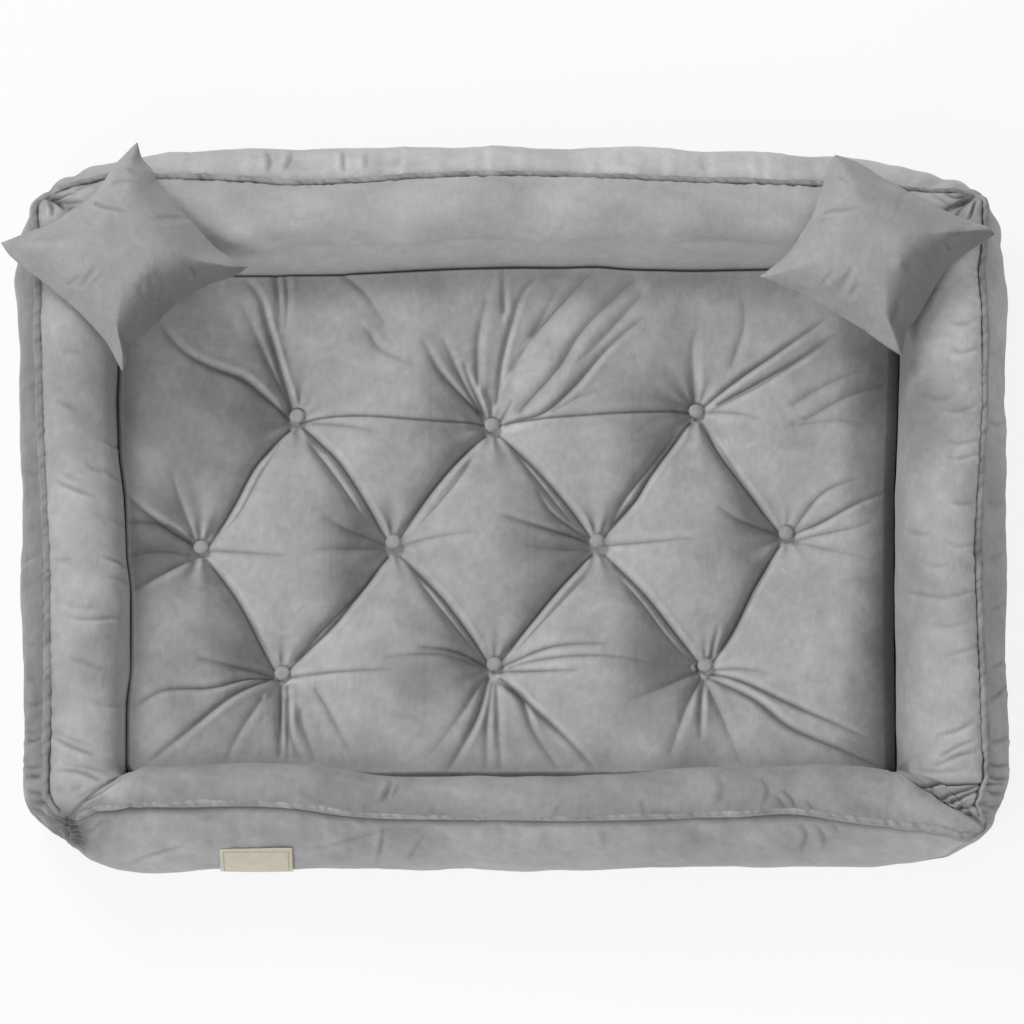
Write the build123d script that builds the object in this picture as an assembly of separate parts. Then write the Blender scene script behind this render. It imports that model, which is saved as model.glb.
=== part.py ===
from build123d import *
import math
import os

# Nest: the hollow between the four walls, measured between their inner bulges
nest_width = 776.0
nest_front = 297.0
nest_back = 247.0
corner_round = 16.0

# Walls: across is measured outward from the inner bulge, up from the floor
panel_thick = 3.0
side_width = 110.0
side_end_width = 106.0
side_height = 170.0
side_seam = 82.0
back_width = 128.0
back_end_width = 114.0
back_height = 176.0
back_seam = 70.0
front_width = 78.0
front_end_width = 75.0
front_height = 152.0
front_seam = 54.0
back_corner_height = 166.0
front_corner_height = 149.0
back_seam_height = 150.0
front_seam_height = 134.0

# Shape of a wall's section, as shares of its own sizes
foot_in_share = 0.12
foot_out_share = 0.86
shoulder_out_share = 0.12
shoulder_up_share = 0.81
bulge_up_share = 0.5
inset_shares = (
    (0.74, 1),
    (1, 0),
    (0.96, -0.29),
    (0, -1),
    (-0.9, -0.5),
    (-1, 0),
    (-0.6, 1),
)

# Corner gussets: the seam turns on this radius, and the cloth is pleated
seam_turn = 36.0
pleat_depth = 5.0
corner_sag_share = 0.97
outline_power_share = 2.2
turn_shares = (0, 0.25, 0.5, 0.75, 1)
pleat_shares = (0, 1, 0, 1, 0, 1, 0)

# Cloth, and the clearance of a filling inside it
cloth_thick = 2.0
filling_clear = 0.5
mitre_clear = 8.0
part_clear = 0.3

# Piping cord
piping_radius = 2.5
piping_out = 2.87
piping_up = 1.65
piping_bend = 12.0
piping_end_gap = 1.0

# Base panel
panel_width = 960.0
panel_front = 353.0
panel_back = 340.0
panel_round = 120.0

# Mattress
mattress_gap = 2.0
mattress_round = 36.0
mattress_top = 92.0
mattress_top_round = 30.0
mattress_foot_round = 10.0
tuft_pitch_share = 0.2591
tuft_row_share = 0.2454
tuft_left = 19.0
tuft_front = 9.0
channel_depth = 30.0
tuft_floor = 58.0
tuft_radius = 9.0
tuft_mouth_radius = 22.0
twine_hole_radius = 1.3
tuft_place_shares = (
    (-1, 1),
    (0, 1),
    (1, 1),
    (-1.5, 0),
    (-0.5, 0),
    (0.5, 0),
    (1.5, 0),
    (-1, -1),
    (0, -1),
    (1, -1),
)
channel_place_shares = (-1.5, -0.5, 0.5, 1.5)

# Covered buttons, backing buttons and twine
button_radius = 7.5
button_rim = 2.0
button_dome = 3.0
backing_thick = 2.5
backing_recess = 4.0
twine_radius = 1.0

# Pillows
pillow_side = 172.0
pillow_thick = 64.0
pillow_left_over = 2.0
pillow_left_in = 17.0
pillow_right_over = -22.0
pillow_right_in = 16.0
pillow_left_seat = 166.1
pillow_right_seat = 165.3
pillow_left_turn = 41.0
pillow_right_turn = -30.0
pillow_levels_share = (
    (1.0, 0.9, 0.0),
    (0.84, 0.81, 0.42),
    (0.62, 0.67, 0.78),
    (0.3, 0.38, 1.0),
)

# Label
label_place_share = 0.6675
label_wide = 73.0
label_low = 38.0
label_high = 92.0
label_thick = 1.0


def base_panel():
    """The flat underside cloth, a little inside the walls' feet."""
    plan = RectangleRounded(panel_width, panel_front + panel_back, panel_round)
    return extrude(Pos(0, (panel_back - panel_front) / 2, 0) * plan, panel_thick)


def section_face(start, outward, form, inset):
    """A wall's closed section, standing on start and facing outward."""
    width, height, seam, seam_height = form
    shoulder_out = shoulder_out_share * seam
    shoulder_up = shoulder_up_share * height
    outline = (
        (foot_in_share * seam, panel_thick),
        (0, (panel_thick + shoulder_up) / 2),
        (shoulder_out, shoulder_up),
        ((shoulder_out + seam) / 2, height),
        (seam, seam_height),
        (width, bulge_up_share * seam_height),
        (foot_out_share * width, panel_thick),
    )
    points = []
    for (across, up), (across_share, up_share) in zip(outline, inset_shares):
        reach = outward * (across + inset * across_share)
        points.append(start + reach + Vector(0, 0, up + inset * up_share))
    inner = ThreePointArc(points[0], points[1], points[2])
    top = ThreePointArc(points[2], points[3], points[4])
    outer = ThreePointArc(points[4], points[5], points[6])
    foot = Line(points[6], points[0])
    return Face(Wire([inner, top, outer, foot]))


# Mattress plan
mattress_width = nest_width - 2 * mattress_gap
mattress_depth = nest_front + nest_back - 2 * mattress_gap
mattress_middle_y = (nest_back - nest_front) / 2
tuft_pitch = mattress_width * tuft_pitch_share
tuft_row = mattress_depth * tuft_row_share
tuft_middle_x = -tuft_left
tuft_middle_y = mattress_middle_y - tuft_front

# Corner axes, and the seam height where each wall ends
side_x = nest_width / 2
axis_x = side_x - corner_round
back_axis_y = nest_back - corner_round
front_axis_y = corner_round - nest_front
seam_side_reach = corner_round + side_seam
seam_back_reach = corner_round + back_seam
seam_front_reach = corner_round + front_seam
seam_back_y = back_axis_y + seam_back_reach - seam_turn
seam_front_y = front_axis_y - seam_front_reach + seam_turn
seam_rise = (back_seam_height - front_seam_height) / (seam_back_y - seam_front_y)
side_back_seam_height = back_seam_height - seam_rise * (seam_back_y - back_axis_y)
side_front_seam_height = front_seam_height + seam_rise * (front_axis_y - seam_front_y)
side_mid_y = (back_axis_y + front_axis_y) / 2
side_mid_seam_height = (side_back_seam_height + side_front_seam_height) / 2

side_back_form = (side_end_width, back_corner_height, side_seam, side_back_seam_height)
side_mid_form = (side_width, side_height, side_seam, side_mid_seam_height)
side_front_form = (side_end_width, front_corner_height, side_seam, side_front_seam_height)
back_mid_form = (back_width, back_height, back_seam, back_seam_height)
back_end_form = (back_end_width, back_corner_height, back_seam, back_seam_height)
front_mid_form = (front_width, front_height, front_seam, front_seam_height)
front_end_form = (front_end_width, front_corner_height, front_seam, front_seam_height)


def seam_turn_points(side_reach, end_reach):
    """Where the seam passes each section of a corner, from its axis."""
    points = [(side_reach, 0)]
    for turn_share in turn_shares:
        angle = math.radians(90 * turn_share)
        across = side_reach - seam_turn * (1 - math.cos(angle))
        along = end_reach - seam_turn * (1 - math.sin(angle))
        points.append((across, along))
    points.append((0, end_reach))
    return points


def outline_reach(angle, side_reach, end_reach):
    """How far the outer bulge lies from the corner's axis at this angle."""
    across = (math.cos(angle) / side_reach) ** outline_power_share
    along = abs(math.sin(angle) / end_reach) ** outline_power_share
    return (across + along) ** (-1 / outline_power_share)


def corner_section(at_back, index, inset):
    """Section number index of the right back or right front corner."""
    axis = Vector(axis_x, back_axis_y if at_back else front_axis_y, 0)
    way = 1 if at_back else -1
    side_form = side_back_form if at_back else side_front_form
    end_form = back_end_form if at_back else front_end_form
    end_reach = seam_back_reach if at_back else seam_front_reach
    across, along = seam_turn_points(seam_side_reach, end_reach)[index]
    angle = math.atan2(along, across)
    outward = Vector(math.cos(angle), way * math.sin(angle), 0)
    if index == 0:
        form = side_form
    elif index == len(pleat_shares) - 1:
        form = end_form
    else:
        side_reach = corner_round + side_form[0]
        reach = outline_reach(angle, side_reach, corner_round + end_form[0])
        reach -= pleat_depth * pleat_shares[index]
        seam = math.hypot(across, along) - corner_round
        height = end_form[1] * (1 - (1 - corner_sag_share) * pleat_shares[index])
        form = (reach - corner_round, height, seam, end_form[3])
    return section_face(axis + outward * corner_round, outward, form, inset)


def corner_form(at_back, inset):
    """The whole of a right corner, from the side wall to the end wall."""
    sections = [corner_section(at_back, i, inset) for i in range(len(pleat_shares))]
    return loft(sections, ruled=True)


def corner_half(at_back, from_side, inset):
    """Filling from one wall's end to the corner's mitre."""
    first = 0 if from_side else len(pleat_shares) - 1
    mitre = len(pleat_shares) // 2
    start = corner_section(at_back, first, inset)
    end = corner_section(at_back, mitre, inset + mitre_clear)
    return loft([start, end], ruled=True)


def straight_wall(start, end, outward, forms, inset):
    """A wall from start to end, through its end, middle and end sections."""
    places = (start, (start + end) / 2, end)
    sections = []
    for place, form in zip(places, forms):
        sections.append(section_face(place, outward, form, inset))
    return loft(sections)


def side_wall(inset):
    start = Vector(side_x, front_axis_y, 0)
    end = Vector(side_x, back_axis_y, 0)
    forms = (side_front_form, side_mid_form, side_back_form)
    return straight_wall(start, end, Vector(1, 0, 0), forms, inset)


def back_wall(inset):
    start = Vector(-axis_x, nest_back, 0)
    end = Vector(axis_x, nest_back, 0)
    forms = (back_end_form, back_mid_form, back_end_form)
    return straight_wall(start, end, Vector(0, 1, 0), forms, inset)


def front_wall(inset):
    start = Vector(-axis_x, -nest_front, 0)
    end = Vector(axis_x, -nest_front, 0)
    forms = (front_end_form, front_mid_form, front_end_form)
    return straight_wall(start, end, Vector(0, -1, 0), forms, inset)


def left_of(shape):
    """The same piece on the left of the bed."""
    return mirror(shape, about=Plane.YZ)


def end_filling(wall, at_back, inset):
    """Filling of the front or back wall, with both of its mitred ends."""
    half = corner_half(at_back, False, inset)
    return wall(inset) + half + left_of(half)


def side_filling(inset):
    back_half = corner_half(True, True, inset)
    front_half = corner_half(False, True, inset)
    return side_wall(inset) + back_half + front_half


def offset_corner(before, here, after, distance):
    """A vertex of a plan outline moved out by distance, the outline turning left."""
    first = Vector(here.Y - before.Y, before.X - here.X, 0).normalized()
    second = Vector(after.Y - here.Y, here.X - after.X, 0).normalized()
    return here + (first + second) * (distance / (1 + first.dot(second)))


def seam_corner(at_back):
    """The seam's vertices round a right corner, from the side to the end wall."""
    axis = Vector(axis_x, back_axis_y if at_back else front_axis_y, 0)
    way = 1 if at_back else -1
    end_reach = seam_back_reach if at_back else seam_front_reach
    places = seam_turn_points(seam_side_reach, end_reach)
    return [axis + Vector(across, way * along, 0) for across, along in places]


def piping_corner(at_back, up):
    """The cord's vertices round a right corner, at the height up."""
    seam = seam_corner(at_back)
    distance = piping_out if at_back else -piping_out
    vertices = []
    for i in range(1, len(seam) - 1):
        moved = offset_corner(seam[i - 1], seam[i], seam[i + 1], distance)
        vertices.append(moved + Vector(0, 0, up + piping_up))
    return vertices


def cord(vertices):
    """A piping cord through these vertices, cut short at both ends."""
    ends = []
    for end, inward in ((vertices[0], vertices[1]), (vertices[-1], vertices[-2])):
        ends.append(end + (inward - end).normalized() * piping_end_gap)
    route = [ends[0]] + vertices[1:-1] + [ends[1]]
    path = FilletPolyline(*route, radius=piping_bend)
    return sweep(Plane(path @ 0, z_dir=path % 0) * Circle(piping_radius), path=path)


def flipped(vertices):
    """Plan vertices mirrored to the left, in the opposite order."""
    return [Vector(-v.X, v.Y, v.Z) for v in reversed(vertices)]


def mattress_form(inset):
    """The tufted mattress, every surface moved in by inset."""
    foot = panel_thick + part_clear + inset
    top = mattress_top - inset
    plan = RectangleRounded(
        mattress_width - 2 * inset, mattress_depth - 2 * inset, mattress_round - inset
    )
    block = extrude(Pos(0, mattress_middle_y, foot) * plan, top - foot)
    top_edges = block.faces().sort_by(Axis.Z)[-1].edges()
    block = fillet(top_edges, mattress_top_round - inset)
    foot_edges = block.faces().sort_by(Axis.Z)[0].edges()
    block = fillet(foot_edges, mattress_foot_round - inset)
    channels = channel_family(1, inset) & channel_family(-1, inset)
    block = block & channels
    for place in tuft_centres():
        block -= tuft_pit(place, inset)
        block -= backing_pit(place, inset)
    return block


def tuft_centres():
    """Plan place of each button."""
    places = []
    for column, row in tuft_place_shares:
        x = column * tuft_pitch + tuft_middle_x
        places.append(Vector(x, row * tuft_row + tuft_middle_y, 0))
    return places


def channel_family(way, inset):
    """A block whose top is parallel barrels that meet in the sewn channels."""
    slope = math.hypot(tuft_pitch / 2, tuft_row)
    spacing = tuft_pitch * tuft_row / slope
    half = spacing / 2
    radius = (half**2 + channel_depth**2) / (2 * channel_depth)
    centre_up = mattress_top - radius
    top = mattress_top - inset
    barrel = radius - inset
    low = centre_up + math.sqrt(barrel**2 - half**2)
    reach = mattress_width
    first = channel_place_shares[0] * spacing
    last = channel_place_shares[-1] * spacing
    bend = half - barrel * math.sin(math.asin(half / barrel) / 2)
    bend_up = centre_up + math.sqrt(barrel**2 - (half - bend) ** 2)
    edges = [Line((-reach, top), (first - half, top))]
    edges.append(ThreePointArc((first - half, top), (first - bend, bend_up), (first, low)))
    for place in channel_place_shares[:-1]:
        start = place * spacing
        edges.append(ThreePointArc((start, low), (start + half, top), (start + spacing, low)))
    edges.append(ThreePointArc((last, low), (last + bend, bend_up), (last + half, top)))
    edges.append(Line((last + half, top), (reach, top)))
    edges.append(Line((reach, top), (reach, 0)))
    edges.append(Line((reach, 0), (-reach, 0)))
    edges.append(Line((-reach, 0), (-reach, top)))
    along = Vector(way * tuft_pitch / 2 / slope, tuft_row / slope, 0)
    across = Vector(along.Y, -along.X, 0)
    middle = Vector(tuft_middle_x, tuft_middle_y, 0)
    plane = Plane(origin=middle, x_dir=across, z_dir=Vector(-along.X, -along.Y, 0))
    return extrude(plane * make_face(edges), reach, both=True)


def tuft_pit(place, inset):
    """The dimple a button is drawn into."""
    floor = tuft_floor - inset
    rise = mattress_top - floor
    pit = Cone(tuft_radius + inset, tuft_mouth_radius + inset, rise)
    return Pos(place.X, place.Y, floor + rise / 2) * pit


def backing_pit(place, inset):
    """The dimple a backing button is drawn into, from below."""
    rise = panel_thick + part_clear + backing_recess + inset
    return Pos(place.X, place.Y, rise / 2) * Cylinder(tuft_radius + inset, rise)


def at_tufts(shape):
    """One copy of the shape at each tuft."""
    return Compound([Pos(place.X, place.Y, 0) * shape for place in tuft_centres()])


def twine_holes(radius):
    hole = Pos(0, 0, mattress_top / 2) * Cylinder(radius, mattress_top)
    return at_tufts(hole)


def button():
    """A covered button: a short rim under a dome."""
    rim_up = tuft_floor + button_rim
    rim = (button_radius, rim_up)
    crown = (0, rim_up + button_dome)
    sphere = (button_radius**2 + button_dome**2) / (2 * button_dome)
    half_radius = button_radius / 2
    half_up = crown[1] - sphere + math.sqrt(sphere**2 - half_radius**2)
    bulge = (half_radius, half_up)
    face = make_face(
        [
            Line((0, tuft_floor), (button_radius, tuft_floor)),
            Line((button_radius, tuft_floor), rim),
            ThreePointArc(rim, bulge, crown),
            Line(crown, (0, tuft_floor)),
        ]
    )
    return revolve(Plane.XZ * face, Axis.Z)


def pillow_half(inset):
    """Upper half of a pillow on its seam: concave sides, pointed corners."""
    half = pillow_side / 2
    rise = pillow_thick / 2
    sections = []
    for corner_share, side_share, up_share in pillow_levels_share:
        corner = half * corner_share - inset * 1.6
        side = half * side_share - inset
        up = (rise - inset) * up_share
        corners = ((corner, corner), (-corner, corner), (-corner, -corner), (corner, -corner))
        mids = ((0, side), (-side, 0), (0, -side), (side, 0))
        edges = []
        for i in range(4):
            edges.append(ThreePointArc(corners[i], mids[i], corners[(i + 1) % 4]))
        sections.append(Pos(0, 0, up) * Face(Wire(edges)))
    return loft(sections)


def pillow_form(inset):
    half = pillow_half(inset)
    return half + mirror(half, about=Plane.XY)


def on_left(shape):
    """A pillow's piece where the left pillow lies."""
    x = -side_x - pillow_left_over
    y = nest_back - pillow_left_in
    place = Pos(x, y, pillow_left_seat + pillow_thick / 2)
    return place * Rot(0, 0, pillow_left_turn) * shape


def on_right(shape):
    """A pillow's piece where the right pillow lies."""
    x = side_x + pillow_right_over
    y = nest_back - pillow_right_in
    place = Pos(x, y, pillow_right_seat + pillow_thick / 2)
    return place * Rot(0, 0, pillow_right_turn) * shape


def label():
    """A woven label that follows the front wall's outer face."""
    reach = front_width
    rise = label_high - label_low
    box = Box(label_wide, reach, rise)
    outer_y = -nest_front - front_seam - reach / 2
    box = Pos(-side_x * label_place_share, outer_y, label_low + rise / 2) * box
    skin = front_wall(-part_clear - label_thick) - front_wall(-part_clear)
    return skin & box


# Pieces
gap = cloth_thick + filling_clear
mattress_cavity = mattress_form(cloth_thick)
gusset_back = corner_form(True, 0) - corner_form(True, cloth_thick)
gusset_front = corner_form(False, 0) - corner_form(False, cloth_thick)
bolster_side = side_wall(0) - side_wall(cloth_thick)
filling_side = side_filling(gap)

back_corner = piping_corner(True, back_seam_height)
front_corner = piping_corner(False, front_seam_height)
mitre_vertex = len(back_corner) // 2
side_route = list(reversed(front_corner[: mitre_vertex + 1])) + back_corner[: mitre_vertex + 1]
back_route = back_corner[mitre_vertex:] + flipped(back_corner[mitre_vertex:])
front_route = front_corner[mitre_vertex:] + flipped(front_corner[mitre_vertex:])
piping_side = cord(side_route)

pillow_cover = pillow_form(0) - pillow_form(cloth_thick)
pillow_filling = pillow_form(gap)

backing_top = panel_thick + part_clear + backing_recess
backing = Pos(0, 0, backing_top - backing_thick / 2) * Cylinder(button_radius, backing_thick)
twine_length = tuft_floor - backing_top
twine = Pos(0, 0, backing_top + twine_length / 2) * Cylinder(twine_radius, twine_length)

parts = {
    "base_panel": base_panel(),
    "bolster_front": front_wall(0) - front_wall(cloth_thick),
    "bolster_back": back_wall(0) - back_wall(cloth_thick),
    "bolster_left": left_of(bolster_side),
    "bolster_right": bolster_side,
    "filling_front": end_filling(front_wall, False, gap),
    "filling_back": end_filling(back_wall, True, gap),
    "filling_left": left_of(filling_side),
    "filling_right": filling_side,
    "gusset_front_left": left_of(gusset_front),
    "gusset_front_right": gusset_front,
    "gusset_back_left": left_of(gusset_back),
    "gusset_back_right": gusset_back,
    "piping_front": cord(front_route),
    "piping_back": cord(back_route),
    "piping_left": left_of(piping_side),
    "piping_right": piping_side,
    "label": label(),
    "mattress_cover": mattress_form(0) - mattress_cavity - twine_holes(twine_hole_radius),
    "mattress_filling": mattress_form(gap) - twine_holes(twine_hole_radius + part_clear),
    "tufting_buttons": at_tufts(button()),
    "backing_buttons": at_tufts(backing),
    "tufting_twines": at_tufts(twine),
    "pillow_cover_left": on_left(pillow_cover),
    "pillow_filling_left": on_left(pillow_filling),
    "pillow_cover_right": on_right(pillow_cover),
    "pillow_filling_right": on_right(pillow_filling),
}

os.makedirs("parts", exist_ok=True)
for name, shape in parts.items():
    export_step(shape, f"parts/{name}.step")
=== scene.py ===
import math

import bpy
import numpy as np
from mathutils import Matrix, Vector


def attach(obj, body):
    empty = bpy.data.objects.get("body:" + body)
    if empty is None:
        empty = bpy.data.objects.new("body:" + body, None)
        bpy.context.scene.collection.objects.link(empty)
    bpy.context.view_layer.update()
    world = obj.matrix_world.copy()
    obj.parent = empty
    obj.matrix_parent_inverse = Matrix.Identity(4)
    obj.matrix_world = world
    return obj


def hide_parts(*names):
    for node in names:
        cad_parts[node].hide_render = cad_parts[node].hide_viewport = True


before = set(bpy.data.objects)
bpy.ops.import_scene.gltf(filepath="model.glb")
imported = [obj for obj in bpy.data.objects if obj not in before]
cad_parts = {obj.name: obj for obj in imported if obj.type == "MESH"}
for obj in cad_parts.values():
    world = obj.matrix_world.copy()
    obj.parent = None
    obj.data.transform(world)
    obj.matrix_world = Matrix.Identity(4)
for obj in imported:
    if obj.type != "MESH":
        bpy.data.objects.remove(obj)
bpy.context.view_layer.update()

MM = 0.001
TAU = 2 * math.pi

# Camera model, in millimetres: the photograph's pixels on planes of the row frame
TILT = math.radians(72)
PICTURE = 1024
PER_PX = 1.01
REACH = 12000.0
TARGET = np.array([-2.5, -14.4, 100.0])
BACK = np.array([0.0, -math.cos(TILT), math.sin(TILT)])
RIGHT = np.array([1.0, 0.0, 0.0])
UP = np.array([0.0, math.sin(TILT), math.cos(TILT)])
EYE = TARGET + BACK * REACH


def px_of(points):
    """The pixels at which points in millimetres show."""
    d = points - TARGET
    depth = REACH - d @ BACK
    x = PICTURE / 2 + (d @ RIGHT) * REACH / depth / PER_PX
    y = PICTURE / 2 - (d @ UP) * REACH / depth / PER_PX
    return np.stack([x, y], -1)


def at_height(pixels, height):
    """Points in millimetres that show at these pixels, on the plane z = height."""
    off = (np.asarray(pixels, float) - PICTURE / 2) * PER_PX
    ray = RIGHT * off[..., :1] - UP * off[..., 1:2] - BACK * REACH
    return EYE + ray * ((height - EYE[2]) / ray[..., 2:3])


# Curves and noise
def noise(points, size, seed, count=22):
    """Seeded waves, about -1 to 1, with features of about this size in millimetres."""
    points = np.asarray(points, float)
    if points.ndim == 1:
        points = points[:, None]
    rng = np.random.default_rng(seed)
    k = rng.normal(size=(count, points.shape[-1]))
    k /= np.linalg.norm(k, axis=1, keepdims=True)
    k *= rng.uniform(0.6, 1.7, size=(count, 1))
    phase = rng.uniform(0, TAU, count)
    weight = rng.uniform(0.5, 1, count)
    total = np.zeros(points.shape[:-1])
    for i in range(count):
        total += weight[i] * np.sin(points @ k[i] * (TAU / size / 1.2) + phase[i])
    return total / math.sqrt((weight**2).sum() / 2) / 2


def smooth(edge0, edge1, value):
    t = np.clip((value - edge0) / (edge1 - edge0), 0, 1)
    return t * t * (3 - 2 * t)


def bell(distance, width):
    """1 at no distance, falling smoothly to nothing beyond the width."""
    return np.exp(-((distance / width) ** 2))


def between(ends, share):
    """The value this share of the way from the first end to the second."""
    return ends[0] + (ends[1] - ends[0]) * share


def eased(values, half, mode="edge"):
    """Values averaged with their neighbours on either side; mode wrap goes round a ring."""
    window = np.hanning(2 * half + 1)
    return np.convolve(np.pad(values, half, mode=mode), window / window.sum(), mode="valid")


def lengths_along(line):
    """The running length at each point of a line."""
    return np.concatenate([[0], np.cumsum(np.linalg.norm(np.diff(line, axis=0), axis=1))])


def along_line(points, line, reach):
    """Signed distance to a polyline and place along it, for the points within reach of it."""
    near = np.flatnonzero(((points > line.min(0) - reach) & (points < line.max(0) + reach)).all(-1))
    p = points[near]
    best = np.full(len(p), 1e9)
    sign = np.ones(len(p))
    place = np.zeros(len(p))
    run = lengths_along(line)
    for a, b, start, end in zip(line[:-1], line[1:], run[:-1], run[1:]):
        ab = b - a
        t = np.clip(((p - a) @ ab) / (ab @ ab), 0, 1)
        d = np.linalg.norm(p - (a + t[:, None] * ab), axis=1)
        closer = d < best
        best = np.where(closer, d, best)
        side = ab[0] * (p[:, 1] - a[1]) - ab[1] * (p[:, 0] - a[0])
        sign = np.where(closer, np.where(side >= 0, 1.0, -1.0), sign)
        place = np.where(closer, between((start, end), t) / run[-1], place)
    return near, best, sign, place


def rounded(line, steps=6):
    """A polyline through given points, eased into a smooth curve."""
    line = np.asarray(line, float)
    if len(line) < 3:
        return line
    ends = np.vstack([2 * line[0] - line[1], line, 2 * line[-1] - line[-2]])
    t = (np.arange(steps) / steps)[:, None]
    out = []
    for i in range(1, len(ends) - 2):
        p0, p1, p2, p3 = ends[i - 1 : i + 3]
        bent = 2 * p1 + (p2 - p0) * t + (2 * p0 - 5 * p1 + 4 * p2 - p3) * t * t
        out.append(0.5 * (bent + (3 * p1 - p0 - 3 * p2 + p3) * t**3))
    return np.vstack(out + [ends[-2]])


def along_fold(pixel, line, half, lip_at, lip_wide):
    """The points near a listed fold: distance, taper to its ends, dip, and the lip beside it."""
    near, d, sign, place = along_line(pixel, rounded(line), half * 6)
    taper = np.sin(np.clip(place, 0, 1) * math.pi) ** 0.6
    return near, d, taper, bell(d, half), bell(d * sign - lip_at * half, lip_wide * half)


def painted_light_patch(pixel, x, y, wide, tall, tone):
    """A factor of painted light and shade for each pixel: this tone at the patch's centre, fading to 1
    outside it.
    """
    return 1 + (tone - 1) * np.exp(-(((pixel[..., 0] - x) / wide) ** 2 + ((pixel[..., 1] - y) / tall) ** 2))


# Meshes
def add_mesh(name, points, faces, creases=0.0, nap=1.0, flat_ends=0, normals=None):
    """A smooth-shaded mesh from points in millimetres. creases and nap are values per vertex: painted shade
    in creases and grooves, and painted light and shade with random mottle.

    The last flat_ends faces are hidden ends, shaded flat so that the skin beside them stays smooth.
    """
    mesh = bpy.data.meshes.new(name)
    mesh.from_pydata((np.reshape(points, (-1, 3)) * MM).tolist(), [], faces)
    mesh.polygons.foreach_set("use_smooth", np.arange(len(faces)) < len(faces) - flat_ends)
    for layer_name, values in (("crease", creases), ("nap", nap)):
        layer = mesh.attributes.new(layer_name, "FLOAT", "POINT")
        values = np.broadcast_to(np.ravel(values), len(mesh.vertices))
        layer.data.foreach_set("value", values.astype(np.float32))
    mesh.update()
    if normals is not None:
        mesh.normals_split_custom_set_from_vertices(normals.reshape(-1, 3))
    obj = bpy.data.objects.new(name, mesh)
    bpy.context.scene.collection.objects.link(obj)
    return obj


def grid_faces(rows, columns, wrap_columns=False, start=0):
    i, j = np.meshgrid(np.arange(rows - 1), np.arange(columns - (not wrap_columns)), indexing="ij")
    k = (j + 1) % columns
    faces = np.stack([i * columns + j, i * columns + k, (i + 1) * columns + k, (i + 1) * columns + j], -1)
    return (faces.reshape(-1, 4) + start).tolist()


def tube_faces(rings, around, start=0, way=1):
    """The faces of a closed tube of rings, with a cap at each end; way -1 turns the caps over."""
    first = np.arange(around) + start
    last = first + (rings - 1) * around
    return grid_faces(rings, around, True, start) + [first[::way].tolist(), last[::-way].tolist()]


def grid_border(rows, columns):
    """The indexes of a grid's rim, in one loop."""
    index = np.arange(rows * columns).reshape(rows, columns)
    return np.concatenate([index[0], index[1:, -1], index[-1, -2::-1], index[-2:0:-1, 0]])


def band_faces(first, second):
    """The faces between two loops of the same length."""
    return np.stack([np.roll(first, -1), first, second, np.roll(second, -1)], -1).tolist()


def turn_angles(around):
    return np.arange(around) / around * TAU


# Materials
class Look:
    """A material, with short ways to add the nodes that the looks share."""

    def __init__(self, name):
        self.material = bpy.data.materials.new(name)
        self.material.use_nodes = True
        self.nodes = self.material.node_tree.nodes
        self.shader = self.nodes["Principled BSDF"]
        self.coords = self.nodes.new("ShaderNodeTexCoord").outputs["Object"]

    def put(self, socket, value):
        """Links an output to a socket, or sets the socket to a value."""
        if isinstance(value, bpy.types.NodeSocket):
            self.material.node_tree.links.new(value, socket)
        else:
            socket.default_value = value

    def node(self, kind, **values):
        """A new node's outputs. Lower-case names are its settings, capitalised ones its sockets."""
        node = self.nodes.new("ShaderNode" + kind)
        for key, value in values.items():
            if key.islower():
                setattr(node, key, value)
            else:
                self.put(node.inputs[key.replace("_", " ")], value)
        return node.outputs

    def noise(self, place, scale, detail, rough=0.55, distortion=0.0):
        return self.node(
            "TexNoise", Vector=place, Scale=scale, Detail=detail, Roughness=rough, Distortion=distortion
        )["Fac"]

    def ramp(self, source, *stops):
        """A ramp between two stops, each a place and a grey or a colour."""
        node = self.nodes.new("ShaderNodeValToRGB")
        for element, (place, value) in zip(node.color_ramp.elements, stops):
            element.position = place
            element.color = (*value, 1) if isinstance(value, tuple) else (value, value, value, 1)
        self.put(node.inputs["Fac"], source)
        return node.outputs["Color"]

    def mix(self, kind, factor, a, b):
        node = self.nodes.new("ShaderNodeMix")
        node.data_type = "RGBA"
        node.blend_type = kind
        for number, value in ((0, factor), (6, a), (7, b)):
            self.put(node.inputs[number], (*value, 1) if isinstance(value, tuple) else value)
        return node.outputs[2]

    def math(self, operation, *values):
        node = self.nodes.new("ShaderNodeMath")
        node.operation = operation
        for socket, value in zip(node.inputs, values):
            self.put(socket, value)
        return node.outputs[0]

    def bump(self, height, strength, distance):
        bumped = self.node("Bump", Height=height, Strength=strength, Distance=distance)
        self.put(self.shader.inputs["Normal"], bumped["Normal"])

    def shade(self, **values):
        """Sets the shader's own sockets and gives the finished material."""
        for key, value in values.items():
            self.put(self.shader.inputs[key.replace("_", " ")], value)
        return self.material


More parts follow.
